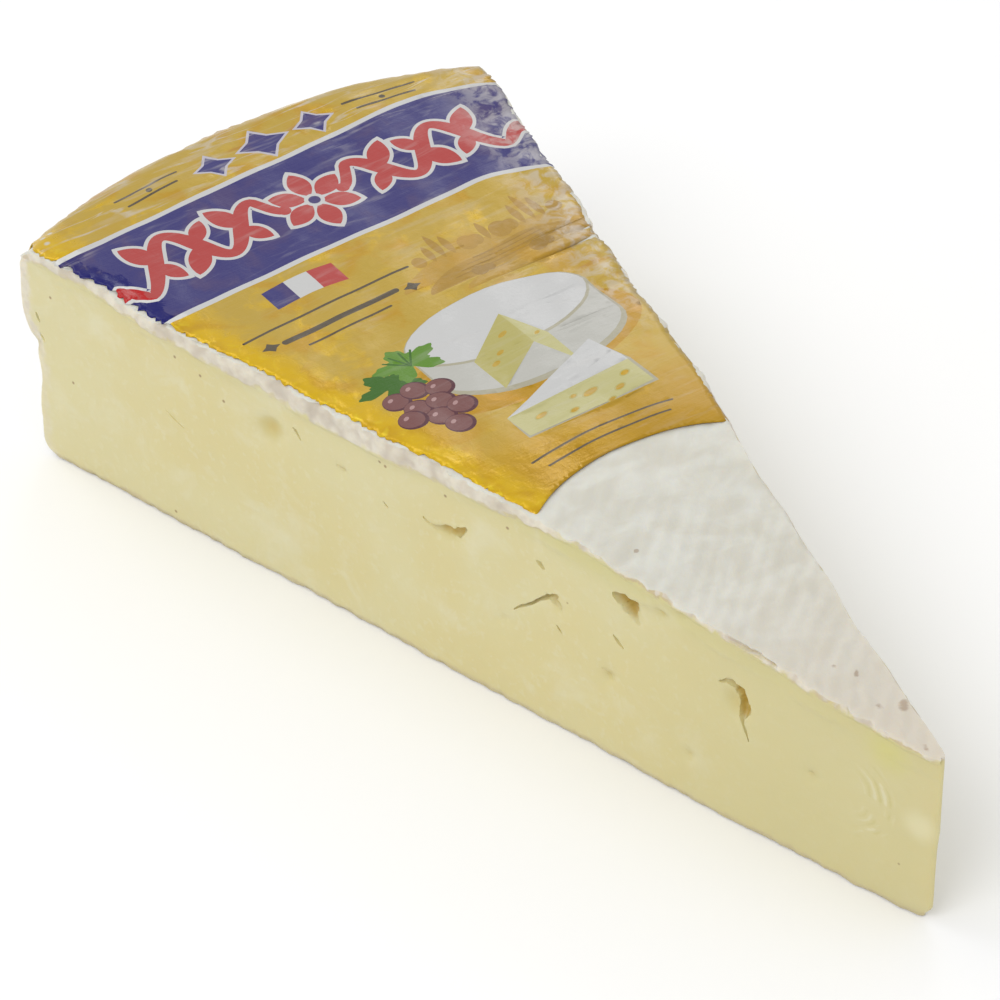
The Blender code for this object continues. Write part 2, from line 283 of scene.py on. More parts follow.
def top_height(r):
    """The rind's height above the table: low at the tip, level along the middle, raised at the rim."""
    rise = (CROWN_HEIGHT - TIP_HEIGHT) * smooth_step(r / CROWN_START)
    lip = (RIM_HEIGHT - CROWN_HEIGHT) * smooth_step((r - RIM_RISE_START) / (RIM_RISE_END - RIM_RISE_START))
    return TIP_HEIGHT + rise + lip


def top_unevenness(r, s):
    """How far the rind lies above or below its even height."""
    return TOP_SWELL * swell(r, r * s * HALF_ANGLE, 38 * MM) * smooth_step(r / (20 * MM))


def rim_reach(s):
    """The rim's greatest distance from the tip: fullest in the middle, drawn in at the two cuts."""
    drawn_in = RIM_SWELL * np.abs(s) ** 2.5 + np.where(s > 0, FAR_CORNER_DROP * s ** 4, 0.0)
    return CUT_RADIUS + RIM_SWELL - drawn_in


def round_in(into, radius):
    """How far a round corner has drawn in, at a distance into it."""
    into = np.clip(into, 0.0, radius)
    return radius - np.sqrt(radius ** 2 - into ** 2)


def rim_radius(s, z):
    """The rim's distance from the tip at a height, with its round corners, waist and ripples."""
    lean = RIM_LEAN * (1.0 - smooth_step((z - 14 * MM) / (12 * MM)))
    waist = RIM_WAIST * hump(z, WAIST_HEIGHT, 5 * MM)
    from_corner = z - (RIM_HEIGHT - TOP_CORNER)
    ripple = RIM_RIPPLE * swell(s * 40 * MM, z, 27 * MM)
    ripple = ripple * (1.0 - smooth_step(from_corner / TOP_CORNER + 1.0))
    corners = round_in(from_corner, TOP_CORNER) + round_in(BOTTOM_CORNER - z, BOTTOM_CORNER)
    return rim_reach(s) - lean - waist + ripple - corners


def cut_offset(s, r, z):
    """How far a cut face stands out from its true plane at a distance and a height."""
    top = top_height(r)
    depth = top - z
    offset = CUT_SWELL * swell(r, z, 52 * MM)
    rind = 1.0 - smooth_step((depth - RIND_THICKNESS) / (1.5 * MM))
    offset = offset + RIND_PROUD * rind * (0.6 + 0.4 * np.sin(r / (2.3 * MM)))
    offset = offset - CUT_TOP_EDGE * (1.0 - smooth_step(depth / (0.9 * MM)))
    offset = offset - CUT_FOOT_EDGE * (1.0 - smooth_step(z / (0.9 * MM)))
    offset = offset + CUT_FLARE * (1.0 - z / top) ** 2
    upper = smooth_step(z / top)
    waves = sum(wave.out * upper * hump(r, wave.centre, wave.width) for wave in FAR_WAVES)
    return np.where(s > 0, offset + waves, offset) * smooth_step((r + 3 * MM) / (12 * MM))


def tip_setback(r, z):
    """How far the tip is worn back towards the rim at a height."""
    step = TIP_STEP * (1.0 - smooth_step((z - TIP_STEP_HEIGHT + 2 * MM) / (4 * MM)))
    foot = TIP_FOOT * (1.0 - smooth_step(z / (2.6 * MM)))
    return (step + foot) * np.exp(-r / (5 * MM))


def from_tip(r, s, z, sideways=0.0):
    """Places from the tip, with the rim towards -X."""
    angle = s * HALF_ANGLE
    along = r * np.cos(angle) + tip_setback(r, z)
    across = r * np.sin(angle) + s * TIP_WIDTH / 2 + s * sideways * math.cos(HALF_ANGLE)
    x = -along + np.abs(s) * sideways * math.sin(HALF_ANGLE)
    return np.stack(np.broadcast_arrays(x, across, z), axis=-1)


def fractal(points, size, octaves=3, seed=0):
    """Even noise at each point, with features of about that size."""
    shift = Vector((17.3 * seed, -9.1 * seed, 5.7 * seed))
    return np.array([noise.fractal(Vector(p) / size + shift, 1.0, 2.0, octaves) for p in points])


# The wedge's mesh


def block_surface(columns, across, up):
    """The six faces of a divided block: lattice points, and quads between them."""
    index = {}
    quads = []
    counts = (columns, across, up)
    for axis in range(3):
        first, second = [other for other in range(3) if other != axis]
        for end in (0, counts[axis]):
            for i in range(counts[first]):
                for j in range(counts[second]):
                    quad = []
                    for di, dj in ((0, 0), (1, 0), (1, 1), (0, 1)):
                        point = [0, 0, 0]
                        point[axis] = end
                        point[first] = i + di
                        point[second] = j + dj
                        quad.append(index.setdefault(tuple(point), len(index)))
                    quads.append(quad)
    return np.array(list(index), float) / counts, quads


def wedge_points(lattice):
    """Bends lattice points onto the wedge's form, from the tip, with rows closer at the top and foot."""
    u, w = lattice[:, 0], lattice[:, 2]
    s = 2.0 * lattice[:, 1] - 1.0
    level = 0.5 * w + 0.25 * (1.0 - np.cos(np.pi * w))
    r = u * rim_radius(s, level * RIM_HEIGHT)
    z = level * (top_height(r) + top_unevenness(r, s))
    points = from_tip(r, s, z, cut_offset(s, r, z))
    points[:, 1] *= 1.0 - NOSE_PINCH * np.exp(-r / NOSE_PINCH_REACH)
    points[:, 0] += NOSE_LENGTH * (1.0 - s ** 2) * np.exp(-r / NOSE_REACH)
    return points


def add_object(name, data, collection=None):
    """Puts a new object into a collection, or else into the scene's own."""
    obj = bpy.data.objects.new(name, data)
    (collection or bpy.context.scene.collection).objects.link(obj)
    return obj


def mesh_object(name, points, faces, collection=None):
    """A smooth-shaded mesh with its faces pointing out."""
    mesh = bpy.data.meshes.new(name)
    mesh.from_pydata([tuple(p) for p in points], [], faces)
    bm = bmesh.new()
    bm.from_mesh(mesh)
    bmesh.ops.recalc_face_normals(bm, faces=bm.faces)
    bm.to_mesh(mesh)
    bm.free()
    mesh.shade_smooth()
    return add_object(name, mesh, collection)


def read_vectors(items, key):
    """One vector from each of a mesh's items, as an array."""
    values = np.empty(len(items) * 3)
    items.foreach_get(key, values)
    return values.reshape(-1, 3)


def write_value(mesh, name, values, domain="POINT"):
    """Keeps one number for each point or face, for the material to read."""
    layer = mesh.attributes.new(name, "FLOAT", domain)
    layer.data.foreach_set("value", np.asarray(values, np.float32))


class Places:
    """Where each point of a mesh lies on the wedge, read back from its place from the tip."""

    def __init__(self, mesh):
        self.points = read_vectors(mesh.vertices, "co")
        self.normals = read_vectors(mesh.vertex_normals, "vector")
        along, across = -self.points[:, 0], self.points[:, 1]
        self.r = np.hypot(along, across)
        self.z = self.points[:, 2]
        self.s = np.clip(np.arctan2(across, np.maximum(along, 1e-6)) / HALF_ANGLE, -1.0, 1.0)
        inwards = along * math.sin(HALF_ANGLE) + TIP_WIDTH / 2 * math.cos(HALF_ANGLE)
        sideways = across * math.cos(HALF_ANGLE)
        near = inwards + sideways + cut_offset(np.full_like(self.r, -1.0), self.r, self.z)
        far = inwards - sideways + cut_offset(np.full_like(self.r, 1.0), self.r, self.z)
        self.in_cut = np.minimum(near, far)
        self.in_top = top_height(self.r) + top_unevenness(self.r, self.s) - self.z
        self.in_rim = rim_radius(self.s, self.z) - self.r
        self.near_side = self.points[:, 1] < 0
        under_label = smooth_step((self.r - 56 * MM) / (14 * MM))
        fullest = hump(self.r, 100 * MM, 26 * MM)
        # The width of the white rind that shows along a cut face's top edge
        self.rind_band = 0.60 * MM + (1.00 * MM + 1.5 * MM * fullest) * under_label

    def fractal(self, size, octaves, seed, squash=1.0):
        """Noise at each point, as fractal gives it, squashed along the height."""
        return fractal(self.points * np.array((1.0, 1.0, squash)), size, octaves, seed)

    def pillows(self, chosen):
        """Low cushions with creases between them at the chosen points, and 0 at the others."""
        height = np.zeros(len(self.points))
        squashed = self.points[chosen] * np.array((1.0, 1.0, PILLOW_UPRIGHT))
        height[chosen] = [1.0 - noise.voronoi(Vector(p) / PILLOW_SIZE)[0][0] ** 2 for p in squashed]
        return height

    def hollow_depth(self, hollows):
        """How deep the soft hollows of a cut face go."""
        depth = np.zeros_like(self.r)
        for hollow in hollows:
            lean = math.radians(hollow.lean)
            along, up = self.r / MM - hollow.r, self.z / MM - hollow.z
            across = (along * math.cos(lean) - up * math.sin(lean)) / (hollow.width / 2)
            upward = (along * math.sin(lean) + up * math.cos(lean)) / (hollow.height / 2)
            depth += hollow.depth * MM * np.exp(-(across ** 2 + upward ** 2) * 0.8)
        return depth


def cut_relief(places, lumps, slow, grain):
    """A cut face's fine heights: dragged paste, soft hollows, and puffy rind along the top edge."""
    band = 1.0 - smooth_step((places.in_top - places.rind_band) / (0.9 * MM))
    band = band * smooth_step(places.in_top / (0.3 * MM))
    band = band * np.where(places.near_side, 1.0, smooth_step((places.r - 60 * MM) / (8 * MM)))
    cushions = places.pillows(band > 0.01)
    relief = 0.10 * MM * slow + 0.035 * MM * grain
    relief = relief + band * (0.10 * MM + 0.42 * MM * cushions + 0.35 * MM * lumps)
    far_hollows = [hollow._replace(r=0.9 * hollow.r + 8, z=32 - hollow.z) for hollow in NEAR_HOLLOWS[:10]]
    near_depth, far_depth = places.hollow_depth(NEAR_HOLLOWS), places.hollow_depth(far_hollows)
    return relief - np.where(places.near_side, near_depth, far_depth)


def rind_relief(places, lumps, slow, grain):
    """The top's fine heights: ribs and low lumps on the bare rind, and little under the label."""
    bare = 1.0 - smooth_step((places.r - 64 * MM) / (3 * MM))
    across_ribs = places.points[:, 0] * 0.78 + places.points[:, 1] * 0.62
    ribs = np.sin(across_ribs / (0.36 * MM) + 4.0 * slow + 1.5 * lumps)
    ribs = ribs * (0.4 + 0.6 * smooth_step(0.5 + 1.5 * places.fractal(8 * MM, 2, seed=5)))
    return (0.06 * MM * ribs + 0.09 * MM * lumps + 0.13 * MM * slow) * bare + 0.02 * MM * grain


def add_relief(mesh):
    """Gives the wedge its fine relief, a scalloped edge along the bare rind and a ragged foot."""
    places = Places(mesh)
    facing_cut = np.abs(places.normals[:, 1]) > 0.75
    facing_up = places.normals[:, 2] > 0.6
    lumps = places.fractal(3.0 * MM, 4, seed=1)
    slow = places.fractal(16 * MM, 2, seed=2)
    grain = places.fractal(1.5 * MM, 2, seed=3, squash=2.0)
    relief = np.where(facing_cut, cut_relief(places, lumps, slow, grain), 0.0)
    relief = relief + np.where(facing_up, rind_relief(places, lumps, slow, grain), 0.0)

    edge = smooth_step((0.9 * MM - places.in_cut) / (0.9 * MM))
    edge = edge * (1.0 - smooth_step(places.in_top / (1.2 * MM))) * smooth_step(places.z / (20 * MM))
    flakes = np.clip(places.fractal(2.2 * MM, 2, seed=10), -0.35, 1.0)
    scallops = edge * np.where(places.near_side, 0.80 * MM, 0.15 * MM) * flakes

    rim_side = (places.in_rim < 2.5 * MM) & ~facing_cut & ~facing_up
    under_label = smooth_step((places.z - (RIM_HEIGHT - LABEL_WRAP - 1.5 * MM)) / (1.5 * MM))
    rim_relief = (0.28 * MM * lumps + 0.22 * MM * slow) * (1.0 - 0.85 * under_label)
    relief = relief + np.where(rim_side, rim_relief, 0.0)
    foot = smooth_step((1.2 * MM - places.z) / (1.2 * MM))
    foot = foot * smooth_step((1.0 * MM - places.in_cut) / (1.0 * MM))

    clear_of_floor = smooth_step(places.z / (1.5 * MM))
    points = places.points + places.normals * (relief * clear_of_floor)[:, None]
    points[:, 1] += np.where(places.near_side, -1.0, 1.0) * scallops
    points[:, 1] += np.sign(points[:, 1]) * foot * 0.28 * MM * fractal(points, 2.4 * MM, 3, seed=4)
    points[:, 2] = np.maximum(points[:, 2], 0.0)
    mesh.vertices.foreach_set("co", points.ravel())
    mesh.update()


def on_cut(side, r_mm, z_mm):
    """A place on a cut face."""
    r, z, s = np.array([r_mm * MM]), np.array([z_mm * MM]), np.array([float(side)])
    return Vector(from_tip(r, s, z, cut_offset(s, r, z))[0])


def cut_outward(side):
    """The way that a cut face looks."""
    return Vector((math.sin(HALF_ANGLE), side * math.cos(HALF_ANGLE), 0))


def smooth_path(path):
    """Closer points along a smooth curve through a burrow's own points."""
    last = len(path) - 1
    spine = []
    for k in range(last):
        before, start, stop, after = (path[min(max(k + d, 0), last)] for d in (-1, 0, 1, 2))
        steps = max(2, round(math.dist(start[:2], stop[:2]) / BURROW_STEP_MM))
        for j in range(steps + (k == last - 1)):
            t = j / steps
            spine.append([
                0.5 * (2 * b + (c - a) * t + (2 * a - 5 * b + 4 * c - d) * t ** 2
                       + (3 * b - a - 3 * c + d) * t ** 3)
                for a, b, c, d in zip(before, start, stop, after)
            ])
    return spine


def make_burrow_cutter(path, index, collection):
    """A winding spindle half sunk into the near cut, round each point of a path."""
    outward = cut_outward(-1)
    spine = smooth_path(path)
    rings = len(spine)
    points, faces = [], []
    for k, (r, z, half_width, depth) in enumerate(spine):
        half_width, depth = (max(size, BURROW_SMALLEST_MM) for size in (half_width, depth))
        centre = on_cut(-1, r, z)
        ahead = on_cut(-1, *spine[min(k + 1, rings - 1)][:2]) - on_cut(-1, *spine[max(k - 1, 0)][:2])
        across = ahead.cross(outward).normalized()
        for j in range(BURROW_SIDES):
            angle = 2 * math.pi * j / BURROW_SIDES
            reach = across * math.cos(angle) * half_width * MM - outward * math.sin(angle) * depth * MM
            place = (centre + reach) / (0.9 * MM) + Vector((index, 0, 0))
            points.append(centre + reach * (1.0 + BURROW_RAGGED * noise.fractal(place, 0.8, 2.0, 3)))
    for k in range(rings - 1):
        for j in range(BURROW_SIDES):
            a, b = k * BURROW_SIDES + j, k * BURROW_SIDES + (j + 1) % BURROW_SIDES
            faces.append((a, b, b + BURROW_SIDES, a + BURROW_SIDES))
    faces.append(tuple(range(BURROW_SIDES)))
    faces.append(tuple((rings - 1) * BURROW_SIDES + j for j in reversed(range(BURROW_SIDES))))
    mesh_object(f"burrow_cutter_{index}", points, faces, collection)


def make_eye_cutter(eye, index, collection):
    """A ragged ball, centred on the cut face, that hollows out one eye."""
    outward = cut_outward(eye.side)
    along = Vector((0, 0, 1)).cross(outward)
    facing = Matrix((along, Vector((0, 0, 1)), outward)).transposed().to_4x4()
    lean = Matrix.Rotation(math.radians(eye.lean), 4, "Z")
    size = Matrix.Diagonal((eye.width * MM / 2, eye.height * MM / 2, eye.depth * MM, 1))
    placed = Matrix.Translation(on_cut(eye.side, eye.r, eye.z)) @ facing @ lean @ size
    bm = bmesh.new()
    detail = EYE_SUBDIVISIONS if eye.width > SMALL_EYE_MM else EYE_SUBDIVISIONS - 1
    bmesh.ops.create_icosphere(bm, subdivisions=detail, radius=1.0)
    shift = Vector((3.1 * index, -1.7 * index, 0.9 * index))
    for vert in bm.verts:
        vert.co *= 1.0 + EYE_RAGGED * noise.fractal(vert.co * 1.5 + shift, 0.8, 2.1, 4)
    bmesh.ops.transform(bm, matrix=placed, verts=bm.verts)
    mesh = bpy.data.meshes.new(f"eye_cutter_{index}")
    bm.to_mesh(mesh)
    bm.free()
    add_object(mesh.name, mesh, collection)


def cut_eyes(obj):
    """Hollows the eyes and pinholes out of the two cut faces."""
    collection = bpy.data.collections.new("eye_cutters")
    bpy.context.scene.collection.children.link(collection)
    rng = random.Random(5)
    ranges = ((20, 150), (5, 30), (0.9, 2.2), (0.6, 1.2), (0.4, 0.9), (-60, 60))
    pinholes = [Eye(1, *(rng.uniform(low, high) for low, high in ranges)) for _ in range(PINHOLES)]
    for index, eye in enumerate(FAR_EYES + pinholes):
        make_eye_cutter(eye, index, collection)
    for index, path in enumerate(NEAR_BURROWS):
        make_burrow_cutter(path, index, collection)
    cut = obj.modifiers.new("eyes", "BOOLEAN")
    cut.operation = "DIFFERENCE"
    cut.operand_type = "COLLECTION"
    cut.collection = collection
    graph = bpy.context.evaluated_depsgraph_get()
    finished = bpy.data.meshes.new_from_object(obj.evaluated_get(graph))
    obj.modifiers.clear()
    obj.data = finished
    for cutter in list(collection.objects):
        bpy.data.objects.remove(cutter, do_unlink=True)
    bpy.data.collections.remove(collection)


def soften_eyes(mesh):
    """Rounds the eyes' rims, which a knife leaves soft in such a paste."""
    places = Places(mesh)
    inside = (places.in_cut > 0.2 * MM) & (places.in_top > 1.5 * MM)
    inside &= (places.z > 1.5 * MM) & (places.in_rim > 1.5 * MM)
    bm = bmesh.new()
    bm.from_mesh(mesh)
    bm.verts.ensure_lookup_table()
    chosen = {bm.verts[k] for k in np.flatnonzero(inside)}
    for _ in range(SOFTEN_RINGS):
        chosen |= {edge.other_vert(vert) for vert in chosen for edge in vert.link_edges}
    verts = sorted(chosen, key=lambda vert: vert.index)
    for _ in range(SOFTEN_PASSES):
        bmesh.ops.smooth_vert(
            bm, verts=verts, factor=SOFTEN_SHARE, use_axis_x=True, use_axis_y=True, use_axis_z=True
        )
    bm.to_mesh(mesh)
    bm.free()


def keep_places(mesh):
    """Writes what the wedge's material reads: depths under each face, and what is an eye."""
    places = Places(mesh)
    inside = (places.in_top > 0.9 * MM) & (places.z > 0.7 * MM) & (places.in_rim > 1.0 * MM)
    in_eye = smooth_step((places.in_cut - 0.25 * MM) / (1.6 * MM))
    facing_tip = places.normals[:, 0] * math.sin(HALF_ANGLE)
    facing = facing_tip + np.abs(places.normals[:, 1]) * math.cos(HALF_ANGLE)
    tip_face = (places.r < 2 * MM) & (np.abs(places.normals[:, 2]) < 0.5)
    cut = np.where(tip_face | inside, 1.0, smooth_step((facing - 0.25) / 0.5))
    cut = np.where((places.in_rim < 1.0 * MM) & ~tip_face, smooth_step((facing - 0.6) / 0.3), cut)
    below_top = smooth_step((places.in_top - 0.05 * MM) / (0.3 * MM))
    at_band = places.rind_band - places.in_top > -1.5 * MM
    hollows = places.hollow_depth(NEAR_HOLLOWS)
    fields = {
        # How far into an eye a point lies, which the material uses for painted amber shade
        "eye": np.where(inside & (places.in_top > 1.6 * MM), in_eye, 0.0),
        "cut": np.minimum(cut, np.where(places.z > 5 * MM, below_top, 1.0)),
        "in_top_mm": places.in_top / MM,
        "band_mm": (places.rind_band - places.in_top) / MM,
        "in_rim_mm": places.in_rim / MM,
        "from_tip_mm": places.r / MM,
        "height_mm": places.z / MM,
        # The soft hollows' depth, which the material uses for painted shade
        "hollow": np.where(places.near_side & inside, hollows / MM, 0.0),
        # Where the creases between the rind's cushions lie, for painted shade
        "crease": np.where(at_band, 1.0 - places.pillows(at_band), 0.0),
    }
    for name, values in fields.items():
        write_value(mesh, name, values)


def frame_shift(mesh):
    """From the tip's place to the frame's, by the middle of the wedge's box."""
    points = read_vectors(mesh.vertices, "co")
    low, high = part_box("cheese")
    middle = (points.min(0) + points.max(0)) / 2
    return Vector(((low.x + high.x) / 2 - middle[0], (low.y + high.y) / 2 - middle[1], low.z))


# The print. Flat shapes in mm: x across the label, y from the tip towards the rim.

# Each ink: its display colour where the film stands off, where it clings, and how much foil shows
Ink = namedtuple("Ink", "hazy wet foil")
INKS = {
    "gold": ((190, 162, 82), (216, 178, 44), 1.0),
    "amber": ((184, 144, 58), (202, 150, 34), 1.0),
    "blue": ((77, 75, 123), (44, 40, 112), 0.1),
    "red": ((180, 86, 84), (186, 48, 48), 0.0),
    "white": ((200, 200, 199), (214, 214, 212), 0.0),
    "pale": ((188, 187, 180), (198, 197, 188), 0.0),
    "outline": ((190, 186, 196), (206, 204, 212), 0.0),
    "cream": ((192, 187, 136), (206, 198, 138), 0.0),
    "straw": ((182, 174, 112), (196, 184, 110), 0.0),
    "shade": ((172, 167, 146), (182, 176, 150), 0.0),
    "leaf": ((104, 142, 66), (92, 146, 50), 0.0),
    "leaf_dark": ((76, 112, 58), (64, 108, 44), 0.0),
    "grape": ((128, 92, 90), (104, 62, 66), 0.0),
    "grape_dark": ((98, 68, 74), (76, 44, 54), 0.0),
    "grape_shine": ((176, 144, 142), (170, 134, 136), 0.0),
    "sketch_pale": ((183, 150, 80), (196, 156, 50), 0.8),
    "sketch": ((172, 139, 74), (180, 142, 52), 0.6),
    "sketch_dark": ((158, 127, 70), (164, 127, 50), 0.5),
    "rule": ((102, 94, 82), (76, 66, 62), 0.0),
}
INKS = {name: Ink(ink(*hazy), ink(*wet), foil) for name, (hazy, wet, foil) in INKS.items()}
BAND_OUTER_MM = 148.0
BAND_INNER_MM = 127.3
BAND_TURN_MM = 20.0
BORDER_MM = 0.95
OUTLINE_MM = 0.55
VINE_START = 5.0
VINE_END = 34.0
VINE_WAVE = 14.5
VINE_REACH = 4.1


def band_outer(x):
    """The blue band's outer edge: it rises a little towards the far cut and turns down near it."""
    return BAND_OUTER_MM + 0.055 * x - 0.0165 * max(x - BAND_TURN_MM, 0.0) ** 2


def band_inner(x):
    """The blue band's inner edge: nearly straight, and turned down towards both cuts."""
    turned_down = 0.029 * max(x - BAND_TURN_MM, 0.0) ** 2 + 0.004 * max(-x - BAND_TURN_MM, 0.0) ** 2
    return BAND_INNER_MM + 0.02 * x - turned_down


def turned(ring, x, y, turn):
    """A ring of points turned by an angle in degrees and moved to a place."""
    c, s = math.cos(math.radians(turn)), math.sin(math.radians(turn))
    return [(x + c * a - s * b, y + s * a + c * b) for a, b in ring]


def ellipse(x, y, across, up, turn=0.0, points=36):
    """An ellipse's outline."""
    angles = [2 * math.pi * k / points for k in range(points)]
    return turned([(across * math.cos(angle), up * math.sin(angle)) for angle in angles], x, y, turn)


def almond(x, y, length, width, turn, grow=0.0, points=14):
    """A leaf pointed at both ends, from its foot."""
    side = []
    for k in range(points + 1):
        t = k / points
        along = -grow * 1.6 + (length + 3.2 * grow) * t
        side.append((along, (width / 2 + grow) * math.sin(math.pi * t) ** 0.8))
    return turned(side + [(along, -off) for along, off in reversed(side[1:-1])], x, y, turn)


def lobed_leaf(x, y, size, turn, lobes=5):
    """A broad leaf with lobes and a toothed edge."""
    ring = []
    steps = 90
    for k in range(steps):
        angle = 2 * math.pi * k / steps
        lobe = 0.74 + 0.20 * math.cos(lobes * angle) + 0.05 * math.cos(4 * lobes * angle)
        notch = 0.35 * math.exp(-((angle - math.pi) / 0.25) ** 2)
        reach = size * (lobe - notch)
        a = angle + math.radians(turn)
        ring.append((x + reach * math.cos(a), y + 0.72 * reach * math.sin(a)))
    return ring


def both_sides(path, widths):
    """The two sides of a line whose half width changes along a path."""
    left, right = [], []
    for k, ((x, y), width) in enumerate(zip(path, widths)):
        x0, y0 = path[max(k - 1, 0)]
        x1, y1 = path[min(k + 1, len(path) - 1)]
        length = math.hypot(x1 - x0, y1 - y0)
        nx, ny = -(y1 - y0) / length * width, (x1 - x0) / length * width
        left.append((x + nx, y + ny))
        right.append((x - nx, y - ny))
    return left, right


def stroke(path, half_width):
    """The outline of a line of even width along a path, with round ends."""
    left, right = both_sides(path, [half_width] * len(path))
    ends = []
    for (x, y), (px, py) in ((path[-1], left[-1]), (path[0], right[0])):
        start = math.atan2(py - y, px - x)
        ends.append([(x + half_width * math.cos(start - math.pi * k / 8),
                      y + half_width * math.sin(start - math.pi * k / 8)) for k in range(1, 8)])
    return left + ends[0] + right[::-1] + ends[1]


def lozenge(x, y, across, up):
    """A diamond with slightly hollow sides."""
    ring = []
    for k in range(4):
        angle = math.pi / 2 * k
        ring.append((x + across * math.cos(angle), y + up * math.sin(angle)))
        ring.append((x + 0.40 * across * (math.cos(angle) - math.sin(angle)),
                     y + 0.40 * up * (math.sin(angle) + math.cos(angle))))
    return ring


def arc_rule(x0, x1, y, sag, thickness):
    """A thin printed rule that sags like the label's arcs."""
    count = 12
    xs = [x0 + (x1 - x0) * k / count for k in range(count + 1)]
    return stroke([(x, y - sag * x * x) for x in xs], thickness / 2)


def print_band(add):
    """The blue band, its white borders and a running red vine with a flower in the middle."""
    xs = [x * 1.5 for x in range(-31, 32)]
    for name, half in (("white", -BORDER_MM / 2), ("blue", BORDER_MM / 2)):
        foot = [(x, band_inner(x) + half) for x in xs]
        add(name, foot + [(x, band_outer(x) - half) for x in reversed(xs)])

    def middle(x):
        return (band_inner(x) + band_outer(x)) / 2

    leaves, vines = [], []
    for side in (-1, 1):
        path, widths = [], []
        for k in range(91):
            x = VINE_START + (VINE_END - VINE_START) * k / 90
            turn = 2 * math.pi * (x - VINE_START) / VINE_WAVE
            fade = min(1.0, (x - VINE_START) / 3.0, (VINE_END + 1.5 - x) / 5.0)
            fullness = min(1.0, (x - VINE_START) / 5.0) * (0.6 + 0.4 * math.cos(2 * turn))
            path.append((side * x, middle(x) + VINE_REACH * fade * math.sin(turn)))
            widths.append(0.75 + 0.45 * fullness)
        vines.append((path, widths))
        for k in range(1, 4):
            x = VINE_START + k * VINE_WAVE / 2
            up = 1 if k % 2 == 0 else -1
            for foot, length, width, lean in ((x - 0.6, 6.6, 3.4, -58 * up), (x + 0.2, 5.2, 2.6, 128 * up)):
                leaves.append((side * foot, middle(x), length, width, lean if side > 0 else 180 - lean))
    petals = []
    for turn in range(30, 360, 60):
        foot = turned([(1.1, 0.0)], 0.0, middle(0), turn)[0]
        petals.append((*foot, 5.6, 3.3, turn))
    for grow, name in ((OUTLINE_MM, "white"), (0.0, "red")):
        for path, widths in vines:
            left, right = both_sides(path, [width + grow for width in widths])
            add(name, left + right[::-1])
            for (x, y), width in ((path[0], widths[0]), (path[-1], widths[-1])):
                add(name, ellipse(x, y, width + 0.25 + grow, width + 0.25 + grow, points=18))
        for leaf in leaves + petals:
            add(name, almond(*leaf, grow))
    add("white", ellipse(0, middle(0), 1.5, 1.5))
    add("blue", ellipse(0, middle(0), 0.9, 0.9, points=20))


def print_outer_strip(add):
    """Three blue lozenges and pairs of thin rules between the band and the rim."""
    for x, y, size in ((-7.6, 152.2, 3.0), (1.2, 153.0, 4.0), (10.2, 153.0, 3.0)):
        add("outline", lozenge(x, y, size + 0.75, 0.86 * size + 0.65))
        add("blue", lozenge(x, y, size, size * 0.86))
    for x0, x1 in ((-24.0, -13.0), (16.0, 28.0)):
        add("rule", arc_rule(x0, x1, 154.6, 0.0026, 0.4))
        add("rule", arc_rule(x0 + 1.2, x1 - 1.2, 152.5, 0.0026, 0.4))
        add("rule", ellipse((x0 + x1) / 2, 153.5 - 0.0026 * ((x0 + x1) / 2) ** 2, 0.5, 0.5, points=12))


def print_middle(add):
    """A small three-coloured ribbon and some dark rules inside the band."""
    for k, name in enumerate(("blue", "white", "red")):
        x0 = -18.2 + 3.9 * k
        top = [(x0 + 3.9 * t / 6, 124.0 + 0.5 * math.sin(1.1 * (k + t / 6))) for t in range(7)]
        foot = [(x, y - 4.6) for x, y in reversed(top)]
        add(name, top + foot)
    add("rule", arc_rule(-26.5, 1.5, 116.6, 0.0016, 0.45))
    add("rule", arc_rule(-22.0, -3.0, 113.0, 0.0016, 1.0))
    for x in (-24.2, -0.6):
        add("rule", lozenge(x, 112.4, 1.5, 1.1))
    add("rule", arc_rule(-19.5, -5.5, 110.6, 0.0016, 0.4))


def print_hills(add):
    """Rolling fields with rows of slender and round trees, in tones a little browner than the gold."""
    def ridge(x0, x1, base, lift, tilt, wave):
        crest = []
        for k in range(41):
            t = k / 40
            x = x0 + (x1 - x0) * t
            rise = lift * math.sin(math.pi * t) ** 0.6 * (1 + 0.10 * math.sin(x / wave))
            crest.append((x, base + rise + tilt * t))
        return crest + [(x1, base - 0.4), (x0, base - 0.4)]

    add("sketch_pale", ridge(-2.5, 31.0, 111.6, 4.6, 0.6, 3.4))
    for x, tall in ((5.6, 4.2), (7.3, 6.4), (8.9, 5.0), (14.9, 4.6), (20.9, 5.4), (22.6, 7.0), (24.2, 5.2)):
        add("sketch", almond(x, 115.2, tall, 1.25, 90))
    for x, size in ((11.6, 1.5), (13.0, 1.15), (17.2, 1.7), (18.9, 1.2), (26.4, 1.2), (3.4, 1.1)):
        add("sketch", ellipse(x, 116.4, size, 1.15 * size, points=20))
    add("sketch", ridge(0.5, 29.5, 109.4, 4.0, 0.8, 2.6))
    for k in range(4):
        add("sketch_dark", arc_rule(5.6 + 1.6 * k, 23.4 - 0.8 * k, 110.3 + 0.85 * k, -0.0012, 0.22))
    add("sketch_pale", ridge(5.5, 28.0, 107.4, 2.4, 0.6, 2.9))
    for x, size in ((9.4, 1.3), (11.0, 0.95), (19.6, 1.4), (21.3, 1.0)):
        add("sketch_dark", ellipse(x, 109.9, size, 0.9 * size, points=20))


